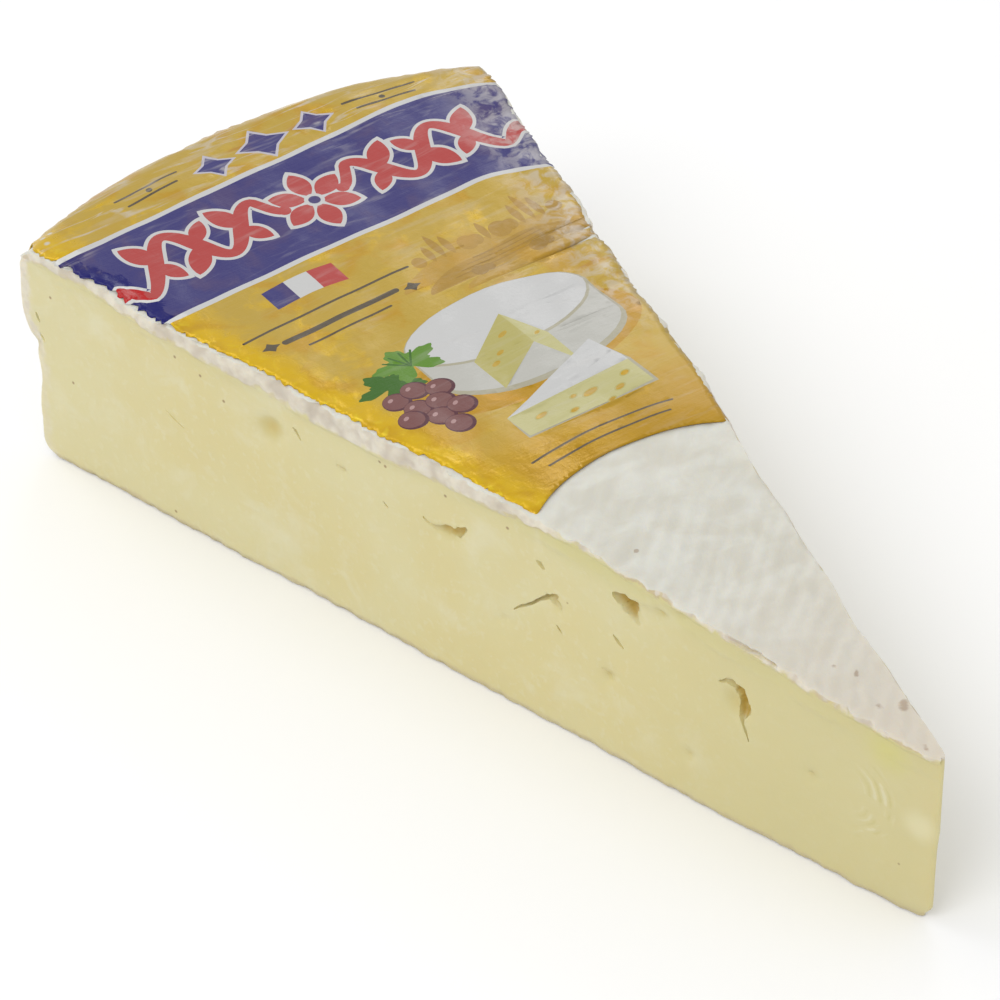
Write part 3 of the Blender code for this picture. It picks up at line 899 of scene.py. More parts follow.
def print_still_life(add):
    """A whole small round cheese with a piece cut out, that piece in front, and grapes on a leaf."""
    add("amber", ellipse(3.0, 90.6, 20.0, 8.6, 4))
    cx, cy, rx, ry, high = 4.6, 99.0, 15.2, 7.0, 8.2
    add("shade", ellipse(cx, cy - high, rx, ry))
    add("shade", [(cx - rx, cy), (cx - rx, cy - high), (cx + rx, cy - high), (cx + rx, cy)])
    add("pale", ellipse(cx, cy - high + 0.9, rx - 0.3, ry - 0.2))
    add("pale", [(cx - rx + 0.3, cy), (cx - rx + 0.3, cy - high + 0.9),
                 (cx + rx - 0.3, cy - high + 0.9), (cx + rx - 0.3, cy)])
    add("shade", ellipse(cx, cy, rx, ry))
    add("white", ellipse(cx, cy + 0.25, rx - 0.35, ry - 0.3))
    heart = (cx + 0.6, cy + 0.8)
    left = (cx - 8.4, cy - 5.9)
    right = (cx + 3.4, cy - 6.9)
    add("straw", [heart, left, (left[0], left[1] - high + 0.8), (heart[0], heart[1] - high)])
    add("cream", [heart, right, (right[0], right[1] - high + 0.7), (heart[0], heart[1] - high)])
    for x, y, across, up in ((cx - 1.8, cy - 3.4, 0.9, 0.4), (cx - 4.4, cy - 6.4, 0.7, 0.35),
                             (cx - 6.2, cy - 8.0, 0.8, 0.4), (cx + 2.2, cy - 6.0, 0.5, 0.3)):
        add("gold", ellipse(x, y, across, up, 20, points=14))
    print_cut_piece(add, 2.0, 78.6)
    print_grapes(add)


def print_cut_piece(add, x, y):
    """The wedge that was cut out, lying in front: white top, cream side with small eyes."""
    nose, back, side = (x - 9.6, y + 1.6), (x + 9.5, y + 9.0), (x + 11.6, y + 2.2)
    high = 6.2
    add("shade", [nose, side, (side[0], side[1] - high), (nose[0], nose[1] - high + 1.0)])
    add("cream", [nose, (side[0] - 0.5, side[1]), (side[0] - 0.5, side[1] - high + 0.5),
                  (nose[0] + 0.4, nose[1] - high + 1.4)])
    add("white", [nose, side, back])
    add("shade", [back, side, (side[0], side[1] - high), (back[0] + 1.6, back[1] - 5.4)])
    eyes = ((-5.4, 0.2, 1.0, 0.4), (-1.2, -1.6, 0.7, 0.35), (2.8, 0.3, 1.3, 0.5), (6.6, -1.3, 0.8, 0.4),
            (4.2, -2.7, 0.6, 0.3), (8.9, 0.6, 0.7, 0.4), (0.4, 0.9, 0.5, 0.3))
    for ex, ey, across, up in eyes:
        add("straw", ellipse(x + ex, y + ey - 0.6, across + 0.25, up + 0.15, 12, points=16))
        add("gold", ellipse(x + ex, y + ey - 0.6, across, up, 12, points=14))


def print_grapes(add):
    """A small bunch of dark grapes on two leaves, at the near side."""
    add("leaf_dark", lobed_leaf(-15.8, 95.6, 5.6, 40))
    add("leaf", lobed_leaf(-11.0, 98.4, 5.8, 100))
    for k in range(4):
        angle = math.radians(60 + 26 * k)
        path = [(-11.0, 98.4 - 0.6), (-11.0 + 3.9 * math.cos(angle), 98.4 + 2.8 * math.sin(angle))]
        add("leaf_dark", stroke(path, 0.16))
    rows = ((-17.2, 92.0), (-13.8, 92.8), (-10.6, 91.4), (-15.6, 89.0), (-12.2, 88.8), (-14.0, 85.9),
            (-10.4, 86.4), (-17.6, 87.4), (-13.0, 83.2))
    for x, y in rows:
        add("grape_dark", ellipse(x, y, 2.15, 2.0, points=24))
        add("grape", ellipse(x - 0.15, y + 0.2, 1.85, 1.7, points=24))
        add("grape_shine", ellipse(x - 0.6, y + 0.8, 0.5, 0.32, 30, points=12))


def print_inner_rules(add):
    """Two thin rules that follow the label's inner edge."""
    add("rule", arc_rule(-10.5, 12.5, 71.6, 0.010, 0.35))
    add("rule", arc_rule(-9.0, 11.0, 69.6, 0.010, 0.35))


def print_layers():
    """Every printed shape, from the bottom up, as (ink, outline)."""
    layers = []

    def add(name, outline):
        layers.append((name, outline))

    print_hills(add)
    print_band(add)
    print_outer_strip(add)
    print_middle(add)
    print_still_life(add)
    print_inner_rules(add)
    return layers


# The label's sheet


def corner_start(s):
    """Where the rim's round corner starts, from the tip."""
    return rim_reach(s) - TOP_CORNER


def sheet_length(s):
    """The label's reach from the tip measured along the sheet, down to its turned-down edge."""
    return corner_start(s) + math.pi / 2 * TOP_CORNER + (LABEL_WRAP - TOP_CORNER)


def inner_edge(s):
    """The label's inner edge, an arc about its own centre."""
    angle = s * HALF_ANGLE
    across = LABEL_ARC_CENTRE * np.sin(angle)
    return LABEL_ARC_CENTRE * np.cos(angle) + np.sqrt(LABEL_ARC_RADIUS ** 2 - across ** 2)


def near_corner(p):
    """Rises from 0 to 1 towards the rim, where the label reaches further over the near cut."""
    return smooth_step((p - NEAR_CORNER_START) / NEAR_CORNER_LENGTH)


def label_outline():
    """The sheet's own outline in mm, with a ragged knife cut along both sides."""
    rng = random.Random(11)

    def side(s, reverse):
        near = s < 0
        start, stop = float(inner_edge(np.array(s))), float(sheet_length(np.array(s)))
        steps = int((stop - start) / EDGE_STEP)
        turned_from = float(corner_start(np.array(s)))
        points = []
        for k in range(steps + 1):
            p = start + (stop - start) * k / steps
            in_band = near and BAND_INNER_MM < p / MM * math.cos(HALF_ANGLE) < BAND_OUTER_MM
            rough = rng.uniform(*(BAND_ROUGH_MM if in_band else EDGE_ROUGH_MM))
            rough += NEAR_OVERHANG_MM if near else FAR_OVERHANG_MM
            if near:
                rough += NEAR_CORNER_OVERHANG_MM * float(near_corner(p))
            tuck = NEAR_TUCK_MM if near else FAR_TUCK_MM
            drawn_in = tuck * float(smooth_step((p - turned_from) / TUCK_LENGTH))
            angle = s * LABEL_REACH * HALF_ANGLE
            x = p * math.sin(angle) / MM + math.copysign(1.0, s) * (rough - drawn_in)
            points.append((x, p * math.cos(angle) / MM))
        return points[::-1] if reverse else points

    def end(edge, reverse):
        points = []
        for k in range(1, END_STEPS):
            s = -1 + 2 * k / END_STEPS
            p = float(edge(np.array(s))) / MM
            angle = s * LABEL_REACH * HALF_ANGLE
            points.append((p * math.sin(angle), p * math.cos(angle)))
        return points[::-1] if reverse else points

    return side(-1.0, False) + end(sheet_length, False) + side(1.0, True) + end(inner_edge, True)


def label_grid():
    """Points that carry the sheet's relief, on an even grid in mm."""
    points = []
    y = float(inner_edge(np.array(0.0))) / MM - GRID_MARGIN_MM
    row = 0
    while y < GRID_END_MM:
        x = -GRID_HALF_WIDTH_MM + (row % 2) * LABEL_STEP_MM / 2
        while x < GRID_HALF_WIDTH_MM:
            points.append((x, y))
            x += LABEL_STEP_MM
        y += LABEL_STEP_MM * GRID_ROW_SHARE
        row += 1
    return points


def sheet_triangles():
    """Cuts the sheet into triangles along every printed outline: places in mm, triangles, inks."""
    outline = label_outline()
    layers = print_layers()
    coords, faces = [], []
    for ring in [outline] + [shape for _, shape in layers]:
        area = sum(x0 * y1 - x1 * y0 for (x0, y0), (x1, y1) in zip(ring, ring[1:] + ring[:1]))
        faces.append(list(range(len(coords), len(coords) + len(ring))))
        coords += ring if area > 0 else ring[::-1]
    coords += label_grid()
    verts, _, tris, _, _, sources = delaunay_2d_cdt([Vector(c) for c in coords], [], faces, 1, 1e-4)
    kept, inks = [], []
    for tri, source in zip(tris, sources):
        if 0 not in source:
            continue
        kept.append(tri)
        top = max(source)
        inks.append("gold" if top == 0 else layers[top - 1][0])
    used = sorted({index for tri in kept for index in tri})
    place = {old: new for new, old in enumerate(used)}
    return np.array([tuple(verts[old]) for old in used]), [[place[old] for old in tri] for tri in kept], inks


def pleats(s, outward):
    """How far the folds of the label's turned-down edge stand off the rim."""
    fold = np.abs(np.sin(math.pi * PLEATS * (s + 0.06 * np.sin(9 * s)) / 2)) ** 3
    uneven = 0.55 + 0.45 * np.sin(5.3 * s + 1.0) * np.cos(11.7 * s)
    return PLEAT_DEPTH * fold * uneven * outward ** 3


def sheet_relief(r, s, flat):
    """The sheet's height above its even lie: creases, streaks, puckers at the far cut and the rim."""
    x, y = flat[:, 0] * MM, flat[:, 1] * MM
    spread = np.stack((x, y, np.zeros_like(x)), axis=-1)
    slow = fractal(spread, 9 * MM, 2, seed=6)
    creased = fractal(spread * np.array((0.30, 1.9, 1.0)), 3.4 * MM, 3, seed=7)
    fine = fractal(spread, 1.3 * MM, 2, seed=8)
    to_far = np.maximum((1.0 - s) * r * HALF_ANGLE, 0.0)
    to_near = np.maximum((1.0 + s) * r * HALF_ANGLE, 0.0)
    far_zone = (1.0 - smooth_step(to_far / (11 * MM))) * smooth_step((r - 84 * MM) / (20 * MM))
    outer = smooth_step((r - 145 * MM) / (8 * MM))
    streaks = hump(y, 121.5 * MM, 3.5 * MM) + hump(y, 104 * MM, 4 * MM)
    relief = 0.05 * MM * slow + 0.025 * MM * fine
    relief = relief + 0.22 * MM * creased * np.clip(0.3 * streaks + outer + far_zone, 0.0, 1.0)
    relief = relief + far_zone * 0.65 * MM * np.clip(fractal(spread, 6.5 * MM, 2, seed=9) + 0.15, 0.0, 1.0)
    crinkled = 1.0 - smooth_step((to_near - 0.4 * MM) / (2.6 * MM))
    crinkled = crinkled * (1.0 + 0.8 * hump(r, 138 * MM, 12 * MM))
    relief = relief + crinkled * 0.16 * MM * np.clip(fine + 0.25, 0.0, 1.2)
    return relief


def sheet_points(flat):
    """Lays flat sheet places, in mm, over the top and down over the rim's corner."""
    x, y = flat[:, 0] * MM, flat[:, 1] * MM
    p = np.hypot(x, y)
    s = np.clip(np.arctan2(x, y) / HALF_ANGLE, -1.05, 1.02)
    start = corner_start(s)
    turn = np.clip((p - start) / TOP_CORNER, 0.0, math.pi / 2)
    outward = np.pi / 2 - turn
    down = np.maximum(p - start - math.pi / 2 * TOP_CORNER, 0.0)
    on_top = p <= start
    r = np.where(on_top, p, start + TOP_CORNER * np.sin(turn))
    lift = top_unevenness(np.minimum(p, start), s)
    corner_z = RIM_HEIGHT - TOP_CORNER + TOP_CORNER * np.cos(turn) - down
    overhang = np.maximum(np.abs(s) - 1.0, 0.0) * r * HALF_ANGLE
    bend = np.where(s < 0, 1.0 - NEAR_CORNER_LEVEL * near_corner(r), 1.0)
    z = np.where(on_top, top_height(r), corner_z) + lift - bend * overhang
    out = np.where(on_top, 0.0, np.cos(outward))
    up = np.where(on_top, 1.0, np.sin(outward))
    hugging = smooth_step(((1.0 - np.abs(s)) * r * HALF_ANGLE - 0.3 * MM) / (3 * MM))
    clear = LABEL_LIFT * (0.6 + 0.4 * hugging) + sheet_relief(p, s, flat) + pleats(s, out)
    sideways = cut_offset(s, r, np.minimum(z, top_height(r)))
    return from_tip(r + clear * out, s, z + clear * up, sideways)


def write_corner_colour(mesh, name, colours):
    """Keeps one colour a face, on its corners, for the material to read."""
    layer = mesh.color_attributes.new(name, "FLOAT_COLOR", "CORNER")
    spread = np.repeat(np.array([(*c, 1.0) for c in colours], np.float32), 3, axis=0)
    layer.data.foreach_set("color", spread.ravel())


def make_label():
    """The label: one sheet, cut along its print, with each ink's two colours on its faces."""
    flat, tris, inks = sheet_triangles()
    obj = mesh_object("label_sheet", sheet_points(flat), tris)
    mesh = obj.data
    # A sheet has no inside, so its faces are turned to look up by hand
    normal_sum = sum(poly.normal.z * poly.area for poly in mesh.polygons)
    if normal_sum < 0:
        mesh.flip_normals()
    order = [INKS[ink] for ink in inks]
    write_corner_colour(mesh, "ink_hazy", [ink.hazy for ink in order])
    write_corner_colour(mesh, "ink_wet", [ink.wet for ink in order])
    write_value(mesh, "foil", [ink.foil for ink in order], "FACE")
    x, y = flat[:, 0] * MM, flat[:, 1] * MM
    r = np.hypot(x, y)
    s = np.arctan2(x, y) / HALF_ANGLE
    write_value(mesh, "to_near_mm", (1.0 + s) * r * HALF_ANGLE / MM)
    write_value(mesh, "to_far_mm", (1.0 - s) * r * HALF_ANGLE / MM)
    write_value(mesh, "from_tip_mm", r / MM)
    shell = obj.modifiers.new("thickness", "SOLIDIFY")
    shell.thickness = LABEL_THICKNESS
    shell.offset = -1.0
    return obj


# Materials


class Field:
    """A node output, with plain arithmetic, steps and coats of colour on it."""

    def __init__(self, finish, socket):
        self.finish, self.socket = finish, socket

    def __add__(self, other):
        return self.finish.math("ADD", self, other)

    def __sub__(self, other):
        return self.finish.math("SUBTRACT", self, other)

    def __rsub__(self, other):
        return self.finish.math("SUBTRACT", other, self)

    def __mul__(self, other):
        return self.finish.math("MULTIPLY", self, other)

    def __abs__(self):
        return self.finish.math("ABSOLUTE", self)

    def sine(self):
        return self.finish.math("SINE", self)

    def greater(self, other):
        return self.finish.math("MAXIMUM", self, other)

    def lesser(self, other):
        return self.finish.math("MINIMUM", self, other)

    def step(self, low, high, start=0.0, stop=1.0):
        """Rises smoothly from start to stop as the value goes from low to high."""
        settings = {"From Min": low, "From Max": high, "To Min": start, "To Max": stop}
        return self.finish.node("MapRange", "Result", {"interpolation_type": "SMOOTHSTEP"},
                                {"Value": self, **settings})

    def coat(self, share, colour):
        """This colour with another laid over a share of it."""
        return self.finish.mix(share, self, colour)


class Finish:
    """A node material with a Principled surface and short calls for its nodes."""

    def __init__(self, name):
        self.material = bpy.data.materials.new(name)
        self.material.use_nodes = True
        self.nodes = self.material.node_tree.nodes
        self.surface = self.nodes["Principled BSDF"]
        self.place = self.node("TexCoord", "Object")

    def plug(self, value, socket):
        """Links a field, or sets a plain number or colour."""
        if isinstance(value, Field):
            self.material.node_tree.links.new(value.socket, socket)
        elif isinstance(value, tuple) and len(value) == 3 and socket.type == "RGBA":
            socket.default_value = (*value, 1.0)
        else:
            socket.default_value = value

    def node(self, kind, output, properties=(), inputs=()):
        """A new shader node's output, with the node's own properties and its inputs set."""
        node = self.nodes.new("ShaderNode" + kind)
        for name, value in dict(properties).items():
            setattr(node, name, value)
        for name, value in dict(inputs).items():
            self.plug(value, node.inputs[name])
        return Field(self, node.outputs[output])

    def attribute(self, name, output="Fac"):
        """A number or colour that the mesh keeps under a name."""
        return self.node("Attribute", output, {"attribute_name": name})

    def math(self, kind, a, b=0.0):
        return self.node("Math", 0, {"operation": kind}, {0: a, 1: b})

    def mapped(self, location, turn=0.0, stretch=(1, 1, 1)):
        """The surface's places scaled, turned about Z by an angle in degrees, and moved."""
        return self.node("Mapping", "Vector", {}, {
            "Vector": self.place,
            "Location": location,
            "Rotation": (0, 0, math.radians(turn)),
            "Scale": stretch,
        })

    def noise(self, size, detail=3.0, stretch=(1, 1, 1), turn=0.0, warp=0.0, offset=0.0, roughness=0.5):
        """Noise with features of about that size in metres."""
        return self.node("TexNoise", "Fac", {}, {
            "Vector": self.mapped((offset, offset, offset), turn, stretch),
            "Scale": 1.0 / size,
            "Detail": detail,
            "Distortion": warp,
            "Roughness": roughness,
        })

    def spots(self, size, seed):
        """Distance to scattered points about that far apart, in units of that size."""
        where = self.mapped((seed, seed * 0.7, seed * 1.3))
        return self.node("TexVoronoi", "Distance", {}, {"Vector": where, "Scale": 1.0 / size})

    def distance(self, place):
        """How far the surface lies from a place."""
        return self.node("VectorMath", "Value", {"operation": "DISTANCE"}, {0: self.place, 1: place})

    def mix(self, share, a, b):
        """The first colour with the second laid over a share of it."""
        return self.node("Mix", "Result", {"data_type": "RGBA"}, {"Factor": share, "A": a, "B": b})

    def bumps(self, *layers):
        """A surface direction with bumps laid over each other, each a (height, distance, strength)."""
        under = {}
        for height, distance, strength in layers:
            inputs = {"Strength": strength, "Distance": distance, "Height": height, **under}
            under = {"Normal": self.node("Bump", "Normal", {}, inputs)}
        return under["Normal"]

    def set(self, **sockets):
        """Sets or links surface sockets, named with underscores for spaces."""
        for name, value in sockets.items():
            self.plug(value, self.surface.inputs[name.replace("_", " ")])


PASTE = srgb(214, 205, 156)
PASTE_WARM = srgb(213, 201, 146)
PASTE_PALE = srgb(219, 213, 178)
PASTE_OLIVE = srgb(204, 197, 136)
PASTE_TIP = srgb(205, 195, 142)
PASTE_SPOT = srgb(206, 199, 122)
PASTE_SMEAR = srgb(224, 218, 178)
# Painted shade for the swirl's furrows
PASTE_FURROW_SHADE = srgb(197, 187, 124)
# Painted shade for the soft hollows
PASTE_HOLLOW_SHADE = srgb(204, 190, 126)
# Painted amber shade for the insides of the eyes
EYE_SHADE_AMBER = srgb(202, 172, 82)
RIND = srgb(215, 214, 204)
RIND_SHADE = srgb(205, 202, 189)
RIND_TIP = srgb(209, 200, 184)
BAND_WHITE = srgb(221, 214, 197)
BAND_SHADE = srgb(196, 185, 168)
EDGE_LINE = srgb(190, 172, 134)
FLECK = srgb(138, 104, 68)


def paste_colour(f, shift, haze, fine, drag):
    """The paste: pale and clouded, olive under the rind, with painted light and shade on a swirl near the
    tip, and painted amber shade in the eyes.
    """
    in_top, reach = f.attribute("in_top_mm"), f.attribute("from_tip_mm")
    paste = f.mix(f.noise(26 * MM, 3, warp=0.4).step(0.38, 0.62), PASTE, PASTE_WARM)
    paste = paste.coat(haze.step(0.50, 0.78, 0.0, 0.70), PASTE_PALE)
    paste = paste.coat(drag.step(0.60, 0.76, 0.0, 0.22), PASTE_PALE)
    paste = paste.coat(fine.step(0.54, 0.72, 0.0, 0.35), PASTE_PALE)
    under_rind = (in_top + haze * 5.0).step(3.0, 9.0, 1.0, 0.0)
    paste = paste.coat(under_rind * reach.step(56, 76, 0.85, 0.35), PASTE_OLIVE)
    paste = paste.coat(reach.step(18, 62, 0.75, 0.0), PASTE_TIP)
    marks = (OLIVE_SPOT, TIP_SMEAR, SWIRL_CENTRE)
    spot, smear, centre = (f.distance(on_cut(-1, *place) + shift) for place in marks)
    paste = paste.coat(spot.step(0.0, 5.0 * MM, 0.75, 0.0), PASTE_SPOT)
    paste = paste.coat(smear.step(0.5 * MM, 3.6 * MM, 0.6, 0.0), PASTE_SMEAR)
    swirl_zone = centre.step(2.2 * MM, 4.0 * MM) * centre.step(6.5 * MM, 9.5 * MM, 1.0, 0.0)
    swirl_zone = swirl_zone * drag.step(0.36, 0.56) * reach.step(8.0, 14.0, 0.9, 0.15)
    # Painted light on the swirl's ridges and painted shade in its furrows, following the swirl's bumps
    swirl = (centre * (2 * math.pi / SWIRL_SPACING) + haze * 9.0).sine() * swirl_zone
    paste = paste.coat(swirl.step(0.1, 1.0, 0.0, 0.70), PASTE_PALE)
    paste = paste.coat(swirl.step(-1.0, -0.1, 0.70, 0.0), PASTE_FURROW_SHADE)
    # Painted shade in the soft hollows, darker where they are deeper
    paste = paste.coat(f.attribute("hollow").step(0.15, 0.75, 0.0, 0.75), PASTE_HOLLOW_SHADE)
    # Painted amber shade in the eyes, deeper where a point lies further into an eye
    paste = paste.coat(f.attribute("eye").step(0.02, 0.8, 0.0, 0.9), EYE_SHADE_AMBER)
    paste = paste.coat(f.spots(13 * MM, 0.2).step(0.010, 0.020, 0.5, 0.0), FLECK)
    return paste, swirl


def cut_colour(f, paste, haze, fine, wander):
    """A cut face: the paste, with the white rind, painted shade in the creases between its cushions, and a
    thin darker line along its edges.
    """
    height, reach = f.attribute("height_mm"), f.attribute("from_tip_mm")
    band_edge = f.attribute("band_mm") + wander
    rim_edge = 1.4 - f.attribute("in_rim_mm") + wander
    rim_white = rim_edge.step(-0.6, 0.5) * height.step(10, 27, 0.35, 0.9)
    white = band_edge.step(-0.5, 0.4).greater(rim_white) * f.attribute("eye").step(0.0, 0.3, 1.0, 0.0)
    band = f.mix(fine.step(0.32, 0.66, 0.45, 0.0), BAND_WHITE, BAND_SHADE)
    # Painted shade in the creases between the rind's cushions
    band = band.coat(f.attribute("crease").step(0.10, 0.55, 0.0, 0.85), BAND_SHADE)
    edge_line = abs(band_edge + 0.1).step(0.05, 0.42, 1.0, 0.0) * reach.step(60, 74, 0.75, 0.3)
    face = paste.coat(white, band).coat(edge_line * haze.step(0.40, 0.58), EDGE_LINE)
    return face.coat((height + wander * 0.5).step(0.1, 1.1, 0.6, 0.0), EDGE_LINE)


def add_flecks(f, colour, shift, fine):
    """Round brown specks on the near cut, and short brown strokes on the rind."""
    for r_mm, z_mm in NEAR_FLECKS:
        fleck = f.distance(on_cut(-1, r_mm, z_mm) + shift)
        colour = colour.coat(fleck.step(0.12 * MM, 0.36 * MM, 0.75, 0.0), FLECK)
    for r_mm, s, half in RIND_FLECKS:
        r = np.array([r_mm * MM])
        place = Vector(from_tip(r, np.array([s]), top_height(r))[0]) + shift
        start, middle, stop = (
            f.distance(place + FLECK_STROKE * along * half * MM) for along in (-0.9, 0.0, 0.9)
        )
        fleck = start.lesser(middle).lesser(stop) + (fine - 0.5) * (1.6 * MM)
        colour = colour.coat(fleck.step(0.2 * half * MM, 1.5 * half * MM, 0.50, 0.0), FLECK)
    return colour


def cheese_material(shift):
    """Pale paste on the cut faces, bloomy white rind elsewhere, with the rind's edge between them."""
    f = Finish("soft_cheese")
    haze = f.noise(9 * MM, 5, warp=0.5, offset=0.3, roughness=0.6)
    fine = f.noise(1.2 * MM, 4, offset=0.7)
    drag = f.noise(4 * MM, 4, stretch=(0.45, 0.45, 1.3), warp=0.9, offset=1.1)
    mottled = f.noise(5 * MM, 5, stretch=(1.3, 0.8, 1.0), turn=-38, warp=0.5)
    wander = (f.noise(2.4 * MM, 4, warp=0.5, offset=0.9) - 0.5) * 3.6
    cut = f.attribute("cut")

    paste, swirl = paste_colour(f, shift, haze, fine, drag)
    rind = f.mix(mottled.step(0.34, 0.66), RIND_SHADE, RIND)
    rind = rind.coat(fine.step(0.35, 0.65, 0.18, 0.0), RIND_SHADE)
    rind = rind.coat(f.attribute("from_tip_mm").step(0, 48, 0.9, 0.0), RIND_TIP)
    face = cut_colour(f, paste, haze, fine, wander)
    colour = rind.coat((cut + wander * 0.22).step(0.35, 0.65), face)
    f.set(
        Base_Color=add_flecks(f, colour, shift, fine),
        Roughness=cut.step(0.0, 1.0, 0.62, 0.42),
        Subsurface_Weight=0.22,
        Subsurface_Radius=(1.0, 0.72, 0.38),
        Subsurface_Scale=3.0 * MM,
        Coat_Weight=0.10,
        Coat_Roughness=0.25,
        Normal=f.bumps(
            (fine + haze * 0.8, 0.12 * MM, 0.55), (mottled, 0.22 * MM, 0.3), (swirl, 0.10 * MM, 0.3),
        ),
    )
    return f.material


AMBER_INK = ink(190, 146, 44)
INNER_INK = ink(182, 142, 24)
# Painted highlights: bright yellow glints on the crinkled foil
GLEAM_HIGHLIGHT = ink(236, 212, 70)
# Painted highlights and sheen on the film
FILM_HIGHLIGHT = ink(204, 200, 196)
# Painted shade for the foil's folds
FOLD_SHADE_BROWN = ink(172, 116, 44)
BLISTER_WHITE = ink(206, 204, 196)


def label_material(shift):
    """Printed foil under clear film: hazy where the film stands off, deep and wet where it clings."""
    f = Finish("printed_foil")
    near, far = f.attribute("to_near_mm"), f.attribute("to_far_mm")
    reach, foil = f.attribute("from_tip_mm"), f.attribute("foil")
    blotch = f.noise(7 * MM, 6, warp=0.8, roughness=0.6)
    small = f.noise(2.4 * MM, 5, warp=0.6, offset=0.6, roughness=0.6)

    # Where the film clings: softly on the foil, with a crisp border on the solid inks
    rough_near = near + (small - 0.5) * 9.0
    inner = reach.step(66, 84, 0.9, 0.0) * far.step(8, 24)
    soft_wet = (rough_near.step(0.5, 8.0, 0.95, 0.0) + blotch.step(0.50, 0.68, 0.0, 0.55)).greater(inner)
    soft_wet = soft_wet * small.step(0.25, 0.6, 0.65, 1.1)
    crisp_wet = (rough_near + blotch * 8.0).step(5.8, 7.2, 0.9, 0.0) * reach.step(108, 114)
    wet = (soft_wet * foil + crisp_wet * (1.0 - foil)).step(0.0, 1.0)

    colour = f.mix(wet, f.attribute("ink_hazy", "Color"), f.attribute("ink_wet", "Color"))
    amber = f.noise(6 * MM, 4, offset=0.8, warp=0.5).step(0.48, 0.68, 0.0, 0.6)
    colour = colour.coat(amber * foil, AMBER_INK)
    colour = colour.coat(reach.step(68, 86, 0.85, 0.0) * near.step(1.5, 6.0) * foil, INNER_INK)
    # Painted highlights: small bright yellow glints on the crinkled foil along the near cut
    colour = colour.coat(small.step(0.54, 0.70) * rough_near.step(0.0, 5.0, 0.85, 0.0) * foil, GLEAM_HIGHLIGHT)

    # Painted highlights and sheen: pale streaks, threads and a patch on the film where it stands off;
    # painted shade in the foil's folds
    outer = reach.step(143, 150)
    streak = f.noise(3.0 * MM, 4, stretch=(1.9, 0.30, 1.0), warp=0.5, offset=0.4)
    streak = streak.step(0.52, 0.74) * near.step(5, 16) * (outer * 0.20 + 0.16)
    far_patch = far.step(0.5, 11.0, 1.0, 0.0) * reach.step(80, 104)
    thread = f.noise(6 * MM, 3, stretch=(1.5, 0.16, 1.0), warp=0.6, offset=1.4)
    thread = abs(thread - 0.5).step(0.004, 0.022, 1.0, 0.0) * reach.step(147, 151)
    thread = thread * blotch.step(0.42, 0.60, 0.1, 0.55)
    film = streak.greater(far_patch * small.step(0.40, 0.60) * 0.55).greater(thread)
    # Painted highlights and sheen on the film
    colour = colour.coat(film, FILM_HIGHLIGHT)
    # Painted shade in the foil's folds on the outer strip and the far patch
    fold_shade = f.noise(3.4 * MM, 3, stretch=(1.7, 0.35, 1), offset=0.9).step(0.60, 0.74) * foil
    colour = colour.coat(fold_shade * outer.greater(far_patch) * 0.5, FOLD_SHADE_BROWN)
    for flat in BLISTERS:
        blister = f.distance(Vector(sheet_points(np.array([flat]))[0]) + shift)
        colour = colour.coat(blister.step(0.20 * MM, 0.60 * MM, 0.85, 0.0), BLISTER_WHITE)

    fine = f.noise(0.8 * MM, 4, offset=0.2)
    ridges = f.noise(1.1 * MM, 2, stretch=(3.2, 0.25, 1.0), offset=0.15)
    f.set(
        Base_Color=colour,
        Metallic=foil * 0.25,
        Roughness=wet.step(0.0, 1.0, 0.38, 0.22),
        Specular_IOR_Level=0.18,
        Coat_Weight=0.22,
        Coat_Roughness=0.14,
        Normal=f.bumps((fine, 0.05 * MM, 0.5), (ridges, 0.10 * MM, 0.45), (small, 0.20 * MM, 0.5)),
    )
    return f.material


def floor_material():
    """A plain pale table."""
    f = Finish("pale_floor")
    f.set(Base_Color=f.mix(f.noise(0.4, 2), (0.90, 0.90, 0.90), (0.92, 0.92, 0.92)), Roughness=0.8)
    return f.material


# The stage


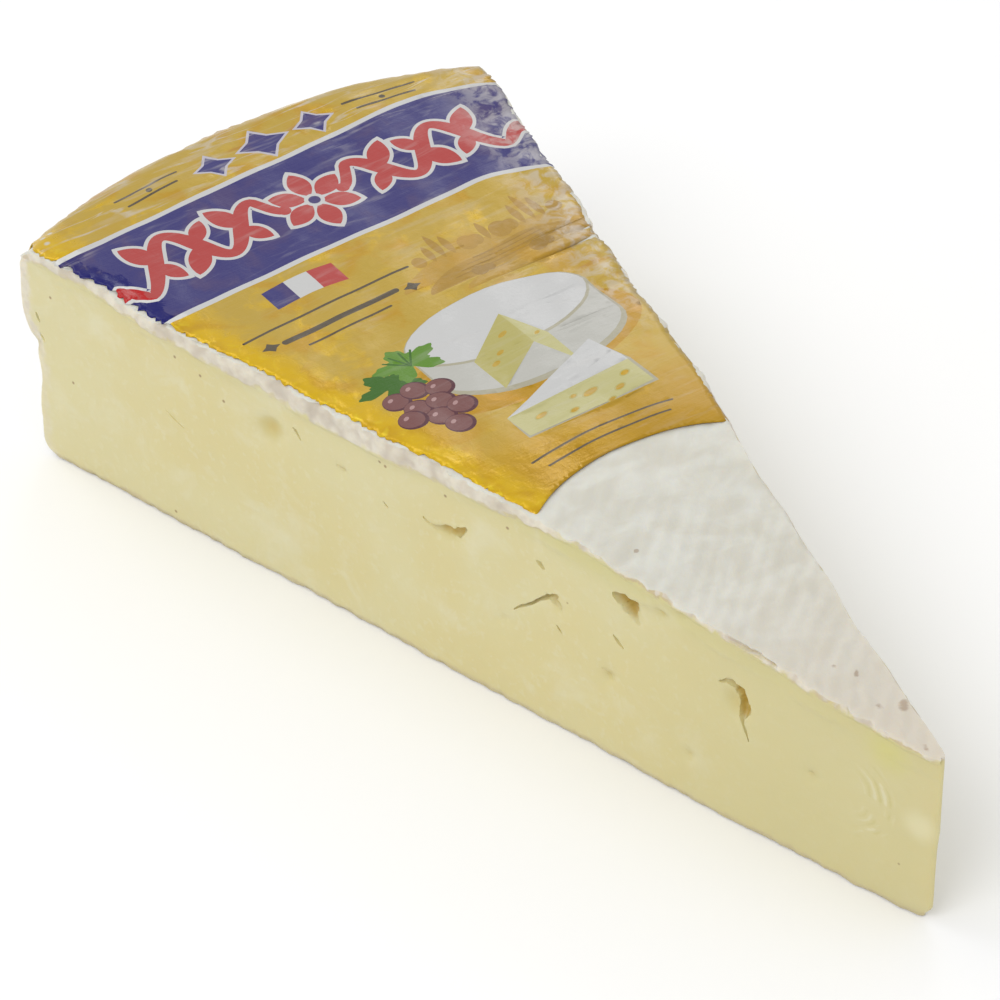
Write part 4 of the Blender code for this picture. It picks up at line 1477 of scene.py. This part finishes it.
def make_camera(tip):
    """The photograph's view."""
    target = tip + CAMERA_TARGET
    back = Vector((
        math.sin(CAMERA_AZIMUTH) * math.cos(CAMERA_ELEVATION),
        -math.cos(CAMERA_AZIMUTH) * math.cos(CAMERA_ELEVATION),
        math.sin(CAMERA_ELEVATION),
    ))
    data = bpy.data.cameras.new("photo_camera")
    data.lens = CAMERA_LENS_MM
    data.sensor_width = 36.0
    data.clip_start = 0.01
    data.clip_end = 20.0
    camera = add_object("photo_camera", data)
    camera.location = target + back * CAMERA_DISTANCE
    turn = (-back).to_track_quat("-Z", "Y").to_matrix().to_4x4() @ Matrix.Rotation(CAMERA_ROLL, 4, "Z")
    camera.rotation_euler = turn.to_euler()
    bpy.context.scene.camera = camera


def make_light(name, place, size, power):
    """A soft square light that looks at the wedge."""
    data = bpy.data.lights.new(name, "AREA")
    data.shape = "SQUARE"
    data.size = size
    data.energy = power
    light = add_object(name, data)
    light.location = place
    light.rotation_euler = (-Vector(place)).to_track_quat("-Z", "Y").to_euler()


def make_stage():
    """A pale floor, a bright even sky and two soft lights."""
    mesh = bpy.data.meshes.new("floor")
    mesh.from_pydata([(-4, -4, 0), (4, -4, 0), (4, 4, 0), (-4, 4, 0)], [], [(0, 1, 2, 3)])
    floor = add_object("floor", mesh)
    floor.location.z = -FLOOR_GAP
    mesh.materials.append(floor_material())
    world = bpy.data.worlds.new("studio")
    world.use_nodes = True
    sky = world.node_tree.nodes["Background"].inputs
    sky["Color"].default_value = (1.0, 1.0, 1.0, 1.0)
    sky["Strength"].default_value = 0.80
    bpy.context.scene.world = world
    make_light("key", (0.25, -0.9, 1.1), 0.8, 6.0)
    make_light("fill", (-0.9, -0.3, 0.9), 0.8, 3.0)
    make_light("glint", (-0.80, 0.75, 0.75), 0.30, 0.9)
    bpy.context.scene.view_settings.view_transform = "Standard"


def make_wedge():
    """The cheese, from the tip, and the shift from there to the frame."""
    lattice, quads = block_surface(COLUMNS, ROWS_ACROSS, ROWS_UP)
    wedge = mesh_object("wedge", wedge_points(lattice), quads)
    shift = frame_shift(wedge.data)
    add_relief(wedge.data)
    cut_eyes(wedge)
    soften_eyes(wedge.data)
    wedge.data.shade_smooth()
    wedge.data.set_sharp_from_angle(angle=SHARP_ANGLE)
    keep_places(wedge.data)
    wedge.data.materials.clear()
    return wedge, shift


def main():
    """The cheese and its label on the frame, and the stage round them."""
    wedge, shift = make_wedge()
    label = make_label()
    wedge.data.materials.append(cheese_material(shift))
    label.data.materials.append(label_material(shift))
    for piece, node in ((wedge, "cheese"), (label, "label")):
        piece.data.transform(Matrix.Translation(shift))
        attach(piece, "root")
        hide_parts(node)
    make_stage()
    make_camera(shift)


main()
